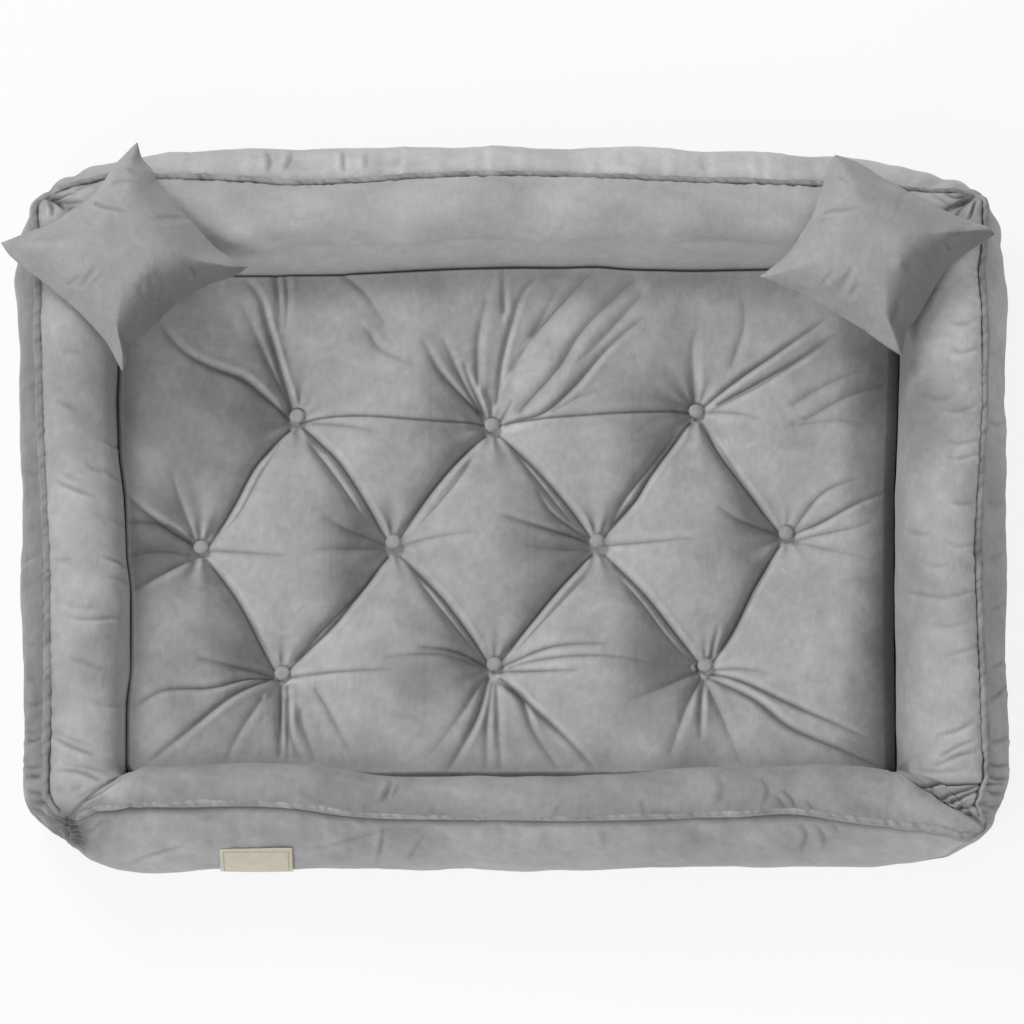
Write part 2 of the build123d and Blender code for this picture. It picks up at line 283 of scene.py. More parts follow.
def velvet(name, tone, streak=1.0, shift=0.0, spread=1.0):
    """Crushed velvet: patches where the nap lies differently, a fine nap and a soft sheen."""
    look = Look(name)
    shifted = (shift, shift * 0.7, shift * 1.3)
    place = look.node("Mapping", Scale=(streak,) * 3, Location=shifted, Vector=look.coords)["Vector"]
    broad = look.ramp(look.noise(place, 9, 5, 0.6, 0.6), (0.3, 0.0), (0.7, 1.0))
    patch = look.ramp(look.noise(place, 34, 6, 0.62, 1.4), (0.38, 0.0), (0.64, 1.0))
    brushed = look.node("Mapping", Scale=(160, 46, 90), Rotation=(0.3, 0.2, 0.9), Vector=look.coords)
    hairs = look.noise(brushed["Vector"], 1.6, 5, 0.6, 0.8)
    low, high, deep = (tuple(c * k for c in tone) for k in (1 - 0.10 * spread, 1 + 0.09 * spread, 0.22))
    colour = look.mix("MIX", broad, low, high)
    patched = look.mix("MIX", patch, (1 - 0.15 * spread,) * 3, (1.02,) * 3)
    colour = look.mix("MULTIPLY", 1.0, colour, patched)
    colour = look.mix("MULTIPLY", 0.8, colour, look.ramp(hairs, (0.3, 0.93), (0.7, 1.05)))
    # Painted shade in creases, seam grooves, mitres and the cords' gathers, then painted light and shade
    # with random mottle, both from vertex values
    crease = look.node("Attribute", attribute_name="crease")["Fac"]
    colour = look.mix("MIX", look.node("MapRange", To_Max=0.78, Value=crease)["Result"], colour, deep)
    colour = look.mix("MULTIPLY", 1.0, colour, look.node("Attribute", attribute_name="nap")["Vector"])
    # The fine nap and the crushed pattern, as bumps only
    nap = look.noise(look.coords, 900, 3, 0.6)
    crush = look.noise(place, 70, 5, 0.6, 1.2)
    look.bump(look.math("MULTIPLY_ADD", nap, 0.25, crush), 0.26, 0.004)
    rough = look.node("MapRange", To_Min=0.62, To_Max=0.86, Value=patch)["Result"]
    return look.shade(
        Base_Color=colour, Roughness=rough, Specular_IOR_Level=0.3,
        Sheen_Weight=0.35, Sheen_Roughness=0.45, Sheen_Tint=(0.95, 0.96, 1.0, 1),
    )


VELVET_TOP = velvet("velvet_mattress", (0.375, 0.375, 0.372), spread=0.8)
VELVET_WALL = velvet("velvet_wall", (0.372, 0.372, 0.372), shift=3.1, spread=0.6)
VELVET_PILLOW = velvet("velvet_pillow", (0.345, 0.345, 0.35), shift=5.3, spread=0.7)
VELVET_CORD = velvet("velvet_cord", (0.36, 0.36, 0.362), streak=2.0, shift=2.2)
VELVET_BUTTON = velvet("velvet_button", (0.36, 0.36, 0.36), streak=3.0, shift=4.2)


def satin():
    """The label's woven satin."""
    look = Look("label_satin")
    weave = look.node("TexWave", Scale=900, Distortion=0.6, Vector=look.coords)
    cloudy = look.noise(look.coords, 60, 4)
    tone = look.ramp(cloudy, (0.3, (0.66, 0.615, 0.475)), (0.7, (0.75, 0.71, 0.57)))
    look.bump(weave["Fac"], 0.2, 0.0005)
    tone = look.mix("MULTIPLY", 0.25, tone, weave["Color"])
    return look.shade(Base_Color=tone, Roughness=0.45, Sheen_Weight=0.2)


def anti_slip():
    """The base panel's dark cloth with its fine dots."""
    look = Look("anti_slip_cloth")
    dots = look.node("TexVoronoi", Scale=160, Randomness=0.0, Vector=look.coords)["Distance"]
    dotted = look.ramp(dots, (0.22, (0.02, 0.02, 0.022)), (0.3, (0.06, 0.06, 0.065)))
    fibre = look.ramp(look.noise(look.coords, 500, 4), (0.3, 0.6), (0.7, 1.1))
    look.bump(dots, 0.4, 0.001)
    return look.shade(Base_Color=look.mix("MULTIPLY", 0.4, dotted, fibre), Roughness=0.85)


def twine():
    look = Look("waxed_twine")
    laid = look.node("TexWave", Scale=400, bands_direction="DIAGONAL", Vector=look.coords)["Fac"]
    colour = look.ramp(laid, (0.2, (0.3, 0.29, 0.27)), (0.8, (0.5, 0.49, 0.46)))
    return look.shade(Base_Color=colour, Roughness=0.5)


def mottled(name, scale, detail, low, high, rough):
    """A plain material whose colour varies a little."""
    look = Look(name)
    colour = look.ramp(look.noise(look.coords, scale, detail), (0.3, low), (0.7, high))
    return look.shade(Base_Color=colour, Roughness=rough)


# Walls. Across is measured outward from the inner bulge, as in the CAD
SIDE_X, FRONT_Y, BACK_Y, ROUND = 388.0, -297.0, 247.0, 16.0
AXIS_X, AXIS_F, AXIS_B = SIDE_X - ROUND, FRONT_Y + ROUND, BACK_Y - ROUND
FLOOR_Z = 3.0
STATION = 2.0
# The foot and the shoulder are set back from the inner bulge; the shoulder is this share of the height
SET_BACK, SHOULDER = 9.0, 0.81
PANEL_MIDDLE, PANEL_HALF, PANEL_ROUND = (0, -6.5), (480.0, 346.5), 120.0
PANEL_LIP = 5.5
WALLS = {
    # heights in millimetres at both ends, and the crown between them; seam, inner and outer lines in
    # pixels; across is painted light and shade by pixels inward from the seam, the outer side below 0; band,
    # top and cord painted light are each side's painted light and shade
    "front": dict(
        out=(0, -1), line=-FRONT_Y, ends=(-AXIS_X, AXIS_X), width=78, height=(149, 149), crown=4,
        seam=54, seam_up=(134, 134), inner_up=118, outer_up=36, silhouette=371.0,
        band_painted_light=1.08, top_painted_light=0.88, mottled=0.06, cord_painted_light=1.0, cord=3.9,
        across=((-2, 1.0), (4, 0.98), (30, 0.95)),
        seam_px=(
            (74, 822), (93, 812), (130, 807), (184, 808), (245, 806), (304, 809), (327, 815), (380, 820),
            (500, 821), (562, 822), (643, 821), (704, 818), (735, 819), (772, 815), (794, 814), (856, 825),
            (921, 831), (945, 834),
        ),
        inner_px=(
            (111, 783), (152, 770), (206, 767), (260, 767), (302, 770), (347, 775), (384, 781), (445, 785),
            (500, 784), (582, 780), (643, 776), (704, 771), (740, 770), (800, 768), (867, 771), (896, 777),
        ),
        outer_px=(
            (110, 861), (130, 865), (184, 866), (500, 866), (640, 865), (740, 863), (800, 862), (860, 860),
            (903, 859),
        ),
    ),
    "right": dict(
        out=(1, 0), line=SIDE_X, ends=(AXIS_F, AXIS_B), width=110, height=(149, 166), crown=12.5,
        seam=82, seam_up=(134.8, 149.2), inner_up=95, outer_up=75, silhouette=498.0,
        band_painted_light=1.15, top_painted_light=1.06, mottled=0.05, cord_painted_light=0.92, cord=3.9,
        across=(
            (-2, 1.0), (4, 1.4), (12, 1.42), (20, 1.34), (28, 1.2), (36, 1.1), (44, 1.02), (60, 0.88),
            (80, 0.8),
        ),
        seam_px=((985, 224), (979, 271), (983, 311), (984, 398), (975, 550), (985, 750)),
        inner_px=((901, 357), (899, 422), (896, 484), (896, 555), (896, 620), (897, 709), (898, 777)),
        outer_px=((1003, 257), (1006, 293), (1005, 463), (1007, 600), (1008, 727), (1006, 785)),
    ),
    "back": dict(
        out=(0, 1), line=BACK_Y, ends=(AXIS_X, -AXIS_X), width=128, height=(166, 166), crown=10,
        seam=70, seam_up=(150, 150), inner_up=82, outer_up=108, silhouette=369.5,
        band_painted_light=1.42, top_painted_light=1.26, mottled=0.015, cord_painted_light=0.95, cord=3.9,
        across=(
            (-30, 1.03), (-14, 1.0), (-4, 0.92), (6, 0.89), (15, 0.87), (24, 0.86), (33, 0.88), (42, 0.94),
            (51, 1.04), (60, 1.15), (76, 1.14), (86, 1.06),
        ),
        seam_px=(
            (72, 190), (156, 177), (240, 181), (291, 186), (362, 183), (413, 179), (485, 176), (560, 177),
            (740, 184), (820, 186), (916, 192), (960, 193),
        ),
        inner_px=(
            (244, 273), (291, 272), (332, 271), (393, 269), (452, 265), (560, 264), (598, 263), (631, 266),
            (700, 267), (767, 266),
        ),
        outer_px=(
            (108, 160), (141, 152), (195, 147), (260, 144), (600, 144), (740, 148), (831, 152), (890, 158),
            (905, 161),
        ),
    ),
    "left": dict(
        out=(-1, 0), line=SIDE_X, ends=(AXIS_B, AXIS_F), width=110, height=(166, 149), crown=12.5,
        seam=82, seam_up=(149.2, 134.8), inner_up=95, outer_up=75, silhouette=498.0,
        band_painted_light=0.62, top_painted_light=1.01, mottled=0.05, cord_painted_light=0.74, cord=4.5,
        across=((-24, 0.78), (-14, 0.84), (-4, 0.86), (0, 1.03), (40, 1.0), (56, 1.06), (80, 1.22)),
        seam_px=(
            (37, 225), (40, 282), (39, 325), (42, 400), (44, 462), (48, 543), (49, 564), (49, 625),
            (49, 734), (48, 794),
        ),
        inner_px=(
            (118, 370), (117, 400), (118, 451), (124, 492), (125, 523), (126, 557), (130, 584), (130, 668),
            (126, 701), (126, 755), (125, 777),
        ),
        outer_px=((20, 264), (17, 325), (19, 422), (21, 484), (22, 620), (24, 777), (25, 796)),
    ),
}
CORNERS = {
    # the mitre's angle, how much painted shade lies along it, and its dips: depth and width in degrees on
    # the side wall's half, then on the other half; softer at the back, where the pillows lie
    "front_right": dict(
        way=(1, -1), mitre=38.0, mark=0.6, dips=(9.0, 15.0, 0.8, 1.2),
        seam_px=(
            (985, 765), (984, 784), (979, 794), (977, 808), (983, 815), (990, 822), (985, 833), (968, 843),
            (947, 835), (921, 831), (890, 828),
        ),
        outer_px=(
            (1008, 750), (1005, 790), (999, 810), (990, 829), (979, 838), (966, 846), (950, 853), (930, 858),
            (903, 862), (880, 863),
        ),
    ),
    "front_left": dict(
        way=(-1, -1), mitre=42.0, mark=0.16, dips=(1.2, 1.5, 3.4, 8.0),
        seam_px=((49, 770), (48, 794), (53, 806), (62, 816), (74, 823), (84, 816), (100, 811), (130, 807)),
        outer_px=(
            (24, 760), (25, 796), (32, 810), (43, 820), (55, 830), (64, 838), (76, 850), (92, 859),
            (108, 865), (130, 868),
        ),
    ),
    "back_left": dict(
        way=(-1, 1), mitre=36.0, mark=0.5, dips=(5.0, 4.0, 5.0, 4.0),
        seam_px=(
            (39, 250), (38, 232), (36, 215), (36, 204), (45, 195), (60, 190), (80, 184), (100, 179),
            (130, 177),
        ),
        outer_px=(
            (17, 325), (18, 264), (25, 232), (29, 212), (33, 202), (45, 190), (60, 181), (80, 172),
            (110, 161), (140, 155),
        ),
    ),
    "back_right": dict(
        way=(1, 1), mitre=40.0, mark=0.5, dips=(6.0, 5.0, 5.0, 3.0),
        seam_px=(
            (979, 271), (983, 240), (984, 215), (985, 200), (975, 193), (955, 192), (930, 192), (905, 191),
        ),
        outer_px=(
            (1004, 290), (1002, 257), (994, 221), (989, 207), (976, 190), (965, 184), (944, 177), (921, 170),
            (890, 163),
        ),
    ),
}
FRONT_CORNERS, BACK_CORNERS = ("front_left", "front_right"), ("back_left", "back_right")
RING = ("front", "front_right", "right", "back_right", "back", "back_left", "left", "front_left")


def arc_points(p0, p1, p2, steps):
    """Points on the circular arc through p0, p1 and p2, one row per station."""
    (ax, ay), (bx, by), (cx, cy) = p0.T, p1.T, p2.T
    d = 2 * (ax * (by - cy) + bx * (cy - ay) + cx * (ay - by))
    sa, sb, sc = ax**2 + ay**2, bx**2 + by**2, cx**2 + cy**2
    ux = (sa * (by - cy) + sb * (cy - ay) + sc * (ay - by)) / d
    uy = (sa * (cx - bx) + sb * (ax - cx) + sc * (bx - ax)) / d
    radius = np.hypot(ax - ux, ay - uy)[:, None]
    a0, a1, a2 = (np.arctan2(y - uy, x - ux) for x, y in ((ax, ay), (bx, by), (cx, cy)))
    total = sum((step + math.pi) % TAU - math.pi for step in (a1 - a0, a2 - a1))
    angle = a0[:, None] + total[:, None] * np.arange(steps) / steps
    return np.stack([ux[:, None] + radius * np.cos(angle), uy[:, None] + radius * np.sin(angle)], -1)


def wall_offsets(wall, place, pixels, height, line):
    """How far a listed line lies outward of the straight wall's own line, in millimetres."""
    out = np.array(WALLS[wall]["out"])
    points = at_height(pixels, height)[:, :2]
    key, value = points @ abs(out[::-1]), points @ out - line
    order = np.argsort(key)
    fine = np.linspace(key.min(), key.max(), 200)
    return np.interp(place, fine, eased(np.interp(fine, key[order], value[order]), 8))


def inner_offsets(wall, place):
    """How far a wall's inner face lies outward of its straight line."""
    spec = WALLS[wall]
    offsets = wall_offsets(wall, place, spec["inner_px"], spec["inner_up"], spec["line"])
    return offsets - 3.0 if wall == "back" else offsets


def straight(wall):
    """A straight wall's stations, one row each: origin, outward, width, height, seam, the seam's
    height, the inner face's offset, degrees from the mitre, and 1 in the corners."""
    spec = WALLS[wall]
    out = np.array(spec["out"])
    start, end = spec["ends"]
    places = np.linspace(start, end, int(abs(end - start) / STATION), endpoint=False)
    share = (places - start) / (end - start)
    rise = between(spec["height"], share) + spec["crown"] * 4 * share * (1 - share)
    level, line = sum(spec["seam_up"]) / 2, spec["line"] + spec["seam"]
    seam = spec["seam"] + wall_offsets(wall, places, spec["seam_px"], level, line)
    outer = wall_offsets(wall, places, spec["outer_px"], spec["outer_up"], spec["silhouette"])
    origin = places[:, None] * abs(out[::-1]) + out * spec["line"]
    none = np.zeros(len(places))
    return np.column_stack([
        origin, none[:, None] + out, spec["width"] + outer, rise, seam, between(spec["seam_up"], share),
        inner_offsets(wall, places), none, none,
    ])


def corner(name, stations=150):
    """A corner's stations, in the same columns as a wall's; the inner offset is filled in later."""
    spec = CORNERS[name]
    way = np.array(spec["way"])
    at_back = way[1] > 0
    beside = WALLS["back" if at_back else "front"]
    axis = np.array([way[0] * AXIS_X, AXIS_B if at_back else AXIS_F])
    share = np.arange(stations) / stations
    angles = (share if way[0] == way[1] else 1 - share) * math.pi / 2

    def polar(pixels, levels):
        """Reach from the corner's axis at these angles, read from the outline in the photograph."""
        level = between(levels, np.linspace(0, 1, len(pixels))[:, None])
        points = (at_height(pixels, level)[:, :2] - axis) * way
        turn = np.arctan2(points[:, 1], points[:, 0])
        order = np.argsort(turn)
        return np.interp(angles, turn[order], np.hypot(*points.T)[order])

    seam_up = beside["seam_up"][0]
    reach = polar(spec["seam_px"], (seam_up, seam_up))
    wide = polar(spec["outer_px"], (78, beside["outer_up"]))
    if at_back:
        wide = np.maximum(wide, reach + 3) + 5.5 * np.sin(angles) ** 2
    else:
        wide = np.maximum(wide, reach - (17 if way[0] > 0 else 12))
    turned = np.stack([np.cos(angles), np.sin(angles)], -1) * way
    same = np.ones(stations)
    return np.column_stack([
        axis + turned * ROUND, turned, wide - ROUND, same * beside["height"][0], reach - ROUND,
        same * seam_up, same * np.nan, np.degrees(angles) - spec["mitre"], same,
    ])


def fill_corners(values):
    """Fills the corners' unknown values from the walls on either side."""
    known = np.flatnonzero(~np.isnan(values))
    return np.interp(np.arange(count), known, values[known], period=count)


def by_wall(key):
    """A wall's own value for each of its stations, blended round the corners."""
    return fill_corners(np.array([WALLS.get(name, {}).get(key, np.nan) for name in names]))[:, None]


def by_corner(key):
    """A corner's own value for each of its stations, and 0 on the walls."""
    return np.array([CORNERS.get(name, {}).get(key, 0.0) for name in names])


parts = [corner(name) if name in CORNERS else straight(name) for name in RING]
names = np.repeat(RING, [len(part) for part in parts])
count = len(names)
data = np.vstack(parts)
origin, outward = data[:, 0:2], data[:, 2:4]
width, height, seam, seam_up, dev_inner, off_mitre, is_corner = data[:, 4:].T
dev_inner = fill_corners(dev_inner)
width = eased(width, 12, "wrap")
height = eased(height, 24, "wrap")
seam = eased(seam, 5, "wrap")
centre = origin + outward * (seam * 0.5)[:, None]
run = lengths_along(np.vstack([centre, centre[:1]]))
round_angle = run[:-1] / run[-1] * TAU
circle = np.stack([np.cos(round_angle), np.sin(round_angle)], -1) * (run[-1] / TAU)


def mitre_dips(off):
    """How far the skin sinks beside each mitre, these many degrees from it; nothing at the joints."""
    dips = np.zeros(off.shape)
    for name, spec in CORNERS.items():
        here = names == name
        side_dip, side_wide, end_dip, end_wide = spec["dips"]
        side_end = math.exp(-spec["mitre"] / side_wide)
        end_end = math.exp(-(90 - spec["mitre"]) / end_wide)
        side = side_dip * np.maximum(np.exp(np.minimum(off[here], 0) / side_wide) - side_end, 0)
        end = end_dip * np.maximum(np.exp(-np.maximum(off[here], 0) / end_wide) - end_end, 0)
        dips[here] = between((side, end), smooth(-0.8, 0.8, off[here]))
    return dips


def outside_panel(points):
    """How far each plan point lies outside the base panel's rounded outline."""
    over = np.abs(points - PANEL_MIDDLE) - PANEL_HALF + PANEL_ROUND
    return np.linalg.norm(np.maximum(over, 0), axis=-1) - PANEL_ROUND


at_front = (names == "front") | (np.isin(names, FRONT_CORNERS) & (off_mitre > 4))
front_share = eased(at_front.astype(float), 10, "wrap")
turned = np.radians(off_mitre + by_corner("mitre"))
squared = 5.0 * np.sin(2 * turned) * np.isin(names, FRONT_CORNERS)
shoulder_out = between((SET_BACK + 0.8 * dev_inner, dev_inner - 0.5), front_share) + squared
inner_out = between((dev_inner, np.maximum(dev_inner, 0)), front_share) + squared
# The feet reach a little over the base panel's edge all the way round
foot_out = 0.86 * width
for _ in range(12):
    reached = outside_panel(origin + outward * foot_out[:, None])
    foot_out = foot_out + np.maximum(PANEL_LIP - reached, 0)
foot_out = np.maximum(eased(foot_out, 4, "wrap"), foot_out)


def section_point(across, up):
    """A point of the cross-section for every station."""
    return np.stack(np.broadcast_arrays(across, up, width)[:2], -1)


# The cross-section: three arcs through seven points, and the flat foot
foot_inside = section_point(SET_BACK, FLOOR_Z)
inner = section_point(inner_out, (FLOOR_Z + SHOULDER * height) / 2)
shoulder = section_point(shoulder_out, SHOULDER * height)
top = section_point((SET_BACK + seam + dev_inner) / 2, height - 0.3 * mitre_dips(off_mitre))
seam_point = section_point(seam, seam_up)
outer = section_point(width, 0.5 * seam_up)
foot_outside = section_point(foot_out, FLOOR_Z)
N_IN, N_TOP, N_OUT, N_FOOT = 24, 78, 58, 4
foot_share = (np.arange(N_FOOT) / N_FOOT)[:, None]
section = np.concatenate([
    arc_points(foot_inside, inner, shoulder, N_IN), arc_points(shoulder, top, seam_point, N_TOP),
    arc_points(seam_point, outer, foot_outside, N_OUT),
    between((foot_outside[:, None], foot_inside[:, None]), foot_share),
], 1)
SECTION = section.shape[1]
SEAM_AT = N_IN + N_TOP
body = np.empty((count, SECTION, 3))
body[..., :2] = origin[:, None] + outward[:, None] * section[..., :1]
body[..., 2] = section[..., 1]


def grid_normals(grid):
    """The ring's normals, pointing out of the cloth."""
    along = np.roll(grid, -1, 0) - np.roll(grid, 1, 0)
    across = np.roll(grid, -1, 1) - np.roll(grid, 1, 1)
    normal = np.cross(across, along)
    if (normal[:, N_IN + N_TOP // 2, 2] < 0).mean() > 0.5:
        normal = -normal
    return normal / (np.linalg.norm(normal, axis=-1, keepdims=True) + 1e-9)


# Distance from the seam along the section
hop = np.linalg.norm(np.diff(section, axis=1), axis=2)
length = np.concatenate([np.zeros((count, 1)), np.cumsum(hop, 1)], 1)
from_seam = length - length[:, SEAM_AT : SEAM_AT + 1]
near_seam = np.abs(from_seam)
# The front right mitre bends: the front bolster's end lies over the right one's
at_front_right = (names == "front_right")[:, None]
bend = 6.0 * smooth(10, 60, -from_seam) + 12.0 * smooth(60, 100, -from_seam)
bent_off = off_mitre[:, None] - bend * at_front_right
dip_grid = mitre_dips(bent_off)
pixel = px_of(body)
dip_grid = np.where(at_front_right & (bent_off < 0), dip_grid * smooth(776, 787, pixel[..., 1]), dip_grid)
section_at = np.arange(SECTION)
on_top = (section_at >= N_IN - 4) & (section_at < SEAM_AT)
on_outer = (section_at > SEAM_AT) & (section_at < SEAM_AT + N_OUT)
normals = grid_normals(body)
# Waves, puckers beside the seam, and the outer bands' hanging folds
move = 1.9 * noise(body, 120, 11) + 0.75 * noise(body, 46, 12)
move *= smooth(0, 22, near_seam) * np.where(section_at < N_IN, 0.3, 1.0)
pucker, fine_pucker = noise(circle, 17, 21, 40)[:, None], noise(circle, 8, 22, 40)[:, None]
fade_top = np.exp(-near_seam / 13.0) * smooth(1.0, 5.0, near_seam)
move += on_top * (0.9 * pucker + 0.5 * fine_pucker) * fade_top
round_run = np.repeat(circle[:, None], SECTION, 1)
hang = noise(np.concatenate([round_run, body[..., 2:] * 0.12], -1), 34, 23, 40)
fade_outer = np.exp(-near_seam / 60.0) * smooth(1.0, 9.0, near_seam)
move += on_outer * (1.7 * hang + 0.8 * pucker) * fade_outer
# Gathers at the corners, and the dips beside the mitres
gather = 2.6 * np.cos(np.radians(off_mitre) * 26) * bell(off_mitre, 24.0)
gather = (gather - 6.0 * np.exp(-np.abs(off_mitre) / 3.0) ** 2) * is_corner
lower = smooth(0, 25, near_seam) * (1 - smooth(70, 130, near_seam))
move += on_outer * gather[:, None] * lower - on_top * dip_grid * smooth(-2, 14, near_seam)
# The top panel is drawn down beside the cord
front_run = front_share[:, None]
groove = bell(from_seam + 0.6, 2.2) * (1 - front_run) + 1.4 * bell(from_seam - 2.6, 2.4) * front_run
move -= 2.8 * groove

WALL_FOLDS = (
    # depth, half width and the line in pixels
    (2.4, 3.0, (392, 779), (388, 790), (383, 803)), (1.4, 2.4, (400, 781), (396, 790), (391, 799)),
    (1.8, 2.6, (383, 823), (382, 842), (376, 866)), (1.2, 3.0, (424, 838), (408, 860)),
    (0.9, 2.4, (300, 852), (360, 838), (395, 828)), (1.8, 3.2, (800, 822), (806, 836), (800, 852)),
    (1.6, 3.0, (815, 823), (824, 838), (822, 850)), (1.0, 2.4, (833, 824), (838, 834)),
    (0.8, 5.0, (600, 824), (606, 850)), (2.0, 2.4, (52, 736), (66, 744), (80, 750), (96, 756)),
    (1.0, 2.4, (54, 730), (70, 738), (92, 746)), (1.9, 2.6, (55, 770), (80, 772), (106, 783)),
    (1.0, 2.6, (62, 764), (88, 768), (110, 774)), (1.1, 2.6, (66, 657), (86, 662), (110, 670)),
    (1.6, 2.2, (68, 617), (92, 619), (122, 617)), (0.7, 2.4, (70, 606), (100, 608)),
    (1.8, 2.0, (102, 556), (116, 562), (130, 570)), (1.0, 2.0, (108, 577), (120, 580), (131, 586)),
    (1.9, 2.4, (54, 480), (76, 490), (98, 498)), (1.0, 2.6, (60, 472), (84, 482)),
    (1.1, 2.2, (104, 470), (114, 478), (126, 482)), (1.1, 2.2, (104, 440), (114, 447), (122, 446)),
    (1.0, 2.2, (108, 520), (120, 524), (128, 530)), (0.8, 2.2, (84, 462), (96, 470), (108, 472)),
    (0.8, 2.6, (90, 700), (108, 706), (126, 704)), (0.9, 3.0, (56, 560), (74, 558)),
    (1.0, 3.0, (54, 400), (80, 410)), (0.8, 3.0, (60, 350), (84, 352)),
    (0.9, 2.6, (946, 655), (968, 650), (980, 644)), (1.0, 2.6, (942, 596), (962, 594), (978, 588)),
    (1.2, 2.2, (904, 592), (924, 594), (950, 598)), (0.8, 2.4, (930, 622), (950, 626), (972, 622)),
    (1.0, 2.4, (906, 528), (918, 534), (934, 532)), (1.0, 2.6, (948, 500), (964, 504), (978, 500)),
    (0.9, 2.6, (944, 540), (960, 546), (976, 542)), (0.7, 2.6, (920, 560), (936, 566), (956, 562)),
    (1.2, 2.4, (946, 456), (962, 458), (980, 452)), (1.0, 2.4, (948, 440), (964, 443), (980, 438)),
    (1.1, 2.4, (944, 408), (962, 410), (980, 404)), (1.0, 3.0, (920, 392), (938, 398), (958, 394)),
    (1.2, 2.6, (950, 350), (966, 352), (980, 346)), (1.0, 2.6, (950, 322), (966, 324), (978, 318)),
    (2.6, 2.8, (26, 777), (43, 777)), (2.2, 2.6, (27, 790), (42, 795)),
    (1.8, 2.0, (22, 764), (34, 768), (44, 766)), (2.2, 2.2, (22, 738), (34, 741), (44, 738)),
    (1.4, 2.0, (22, 728), (34, 732), (44, 730)), (1.4, 2.4, (22, 700), (34, 704), (44, 702)),
    (1.2, 2.4, (22, 676), (36, 680)), (0.9, 3.0, (22, 640), (40, 645)), (1.0, 3.0, (23, 560), (42, 556)),
    (1.2, 2.6, (20, 470), (38, 474)), (2.2, 2.2, (986, 762), (998, 766), (1010, 763)),
    (2.4, 2.2, (986, 774), (998, 779), (1009, 777)), (2.2, 2.2, (985, 790), (997, 794), (1007, 792)),
    (2.0, 2.0, (982, 804), (993, 808), (1003, 806)), (1.8, 2.4, (988, 742), (1000, 740), (1010, 734)),
    (1.8, 2.4, (988, 700), (1000, 694), (1009, 684)), (1.4, 2.4, (990, 668), (1000, 664), (1008, 658)),
    (1.0, 3.0, (988, 610), (1000, 606), (1008, 600)), (1.0, 3.0, (988, 560), (1006, 550)),
    (1.0, 3.0, (987, 500), (998, 504), (1006, 500)), (1.2, 3.0, (986, 420), (998, 424), (1006, 420)),
    (2.2, 3.0, (267, 150), (270, 162), (268, 172)), (2.0, 3.0, (291, 150), (290, 160), (284, 172)),
    (2.0, 2.6, (343, 151), (344, 172)), (1.4, 3.0, (367, 151), (366, 170)),
    (0.8, 4.0, (400, 152), (398, 166)), (0.8, 5.0, (620, 152), (622, 170)),
    (0.8, 5.0, (700, 155), (704, 172)), (1.5, 2.4, (936, 735), (956, 731), (976, 721)),
    (1.7, 2.4, (939, 757), (961, 745), (977, 740)), (1.7, 2.6, (934, 766), (956, 756), (979, 751)),
    (1.0, 2.6, (912, 768), (938, 771), (970, 768)), (4.4, 1.5, (52, 814), (64, 821), (78, 825)),
    (4.4, 1.5, (54, 820), (68, 827), (80, 829)), (4.4, 1.5, (58, 826), (70, 833), (81, 834)),
    (4.4, 1.5, (62, 832), (73, 838), (83, 839)), (4.0, 1.4, (67, 838), (77, 843), (85, 843)),
    (2.6, 1.4, (73, 843), (82, 848), (87, 848)), (2.4, 2.2, (32, 800), (46, 806), (58, 815)),
    (2.0, 2.0, (30, 806), (42, 813), (56, 820)), (1.8, 1.6, (80, 803), (100, 793), (124, 778)),
    (0.8, 2.6, (75, 800), (96, 788), (118, 778)), (1.0, 2.4, (70, 790), (84, 786)),
    (1.4, 2.0, (128, 862), (150, 854), (186, 844)), (1.2, 2.4, (84, 832), (94, 828), (104, 820)),
    (4.5, 1.8, (44, 196), (56, 201), (66, 210)), (4.0, 1.7, (46, 196), (60, 196), (74, 192)),
    (3.0, 1.7, (48, 200), (52, 208), (52, 218)), (2.2, 2.0, (56, 199), (68, 202), (84, 201)),
    (1.4, 2.4, (100, 180), (84, 186), (70, 196)), (4.5, 1.8, (978, 194), (966, 200), (954, 206)),
    (3.6, 1.7, (976, 192), (958, 195), (944, 193)), (3.0, 1.7, (978, 198), (974, 208), (970, 220)),
    (2.0, 2.0, (968, 202), (960, 210), (956, 222)), (1.4, 2.4, (930, 194), (944, 200), (958, 210)),
    (1.0, 4.0, (716, 772), (722, 790), (716, 810)), (1.4, 2.4, (760, 776), (768, 790), (764, 806)),
    (1.8, 2.0, (782, 790), (792, 800), (796, 812)), (1.4, 1.8, (775, 796), (782, 804), (786, 812)),
    (1.2, 1.8, (806, 800), (812, 808), (815, 816)), (0.8, 2.4, (640, 800), (646, 816)),
    (0.8, 2.4, (560, 806), (552, 818)), (0.8, 2.2, (430, 806), (436, 817)),
    (0.8, 3.0, (300, 790), (312, 800), (330, 806)),
)
LAYERED = (
    # the right bolster's gathered end, under the front bolster's
    (4.0, 1.2, (870, 785), (912, 784), (950, 784), (990, 784), (1010, 784)),
    (3.4, 1.8, (900, 782), (920, 790), (939, 794), (956, 792), (984, 785), (996, 782)),
    (3.4, 1.8, (918, 788), (936, 795), (953, 799), (967, 795), (982, 790), (994, 786)),
    (3.2, 1.8, (922, 792), (939, 799), (956, 806), (978, 804), (990, 802)),
    (3.0, 1.7, (934, 798), (950, 806), (967, 814), (981, 814), (990, 812)),
    (2.6, 1.5, (946, 808), (961, 816), (976, 822), (986, 825)),
)
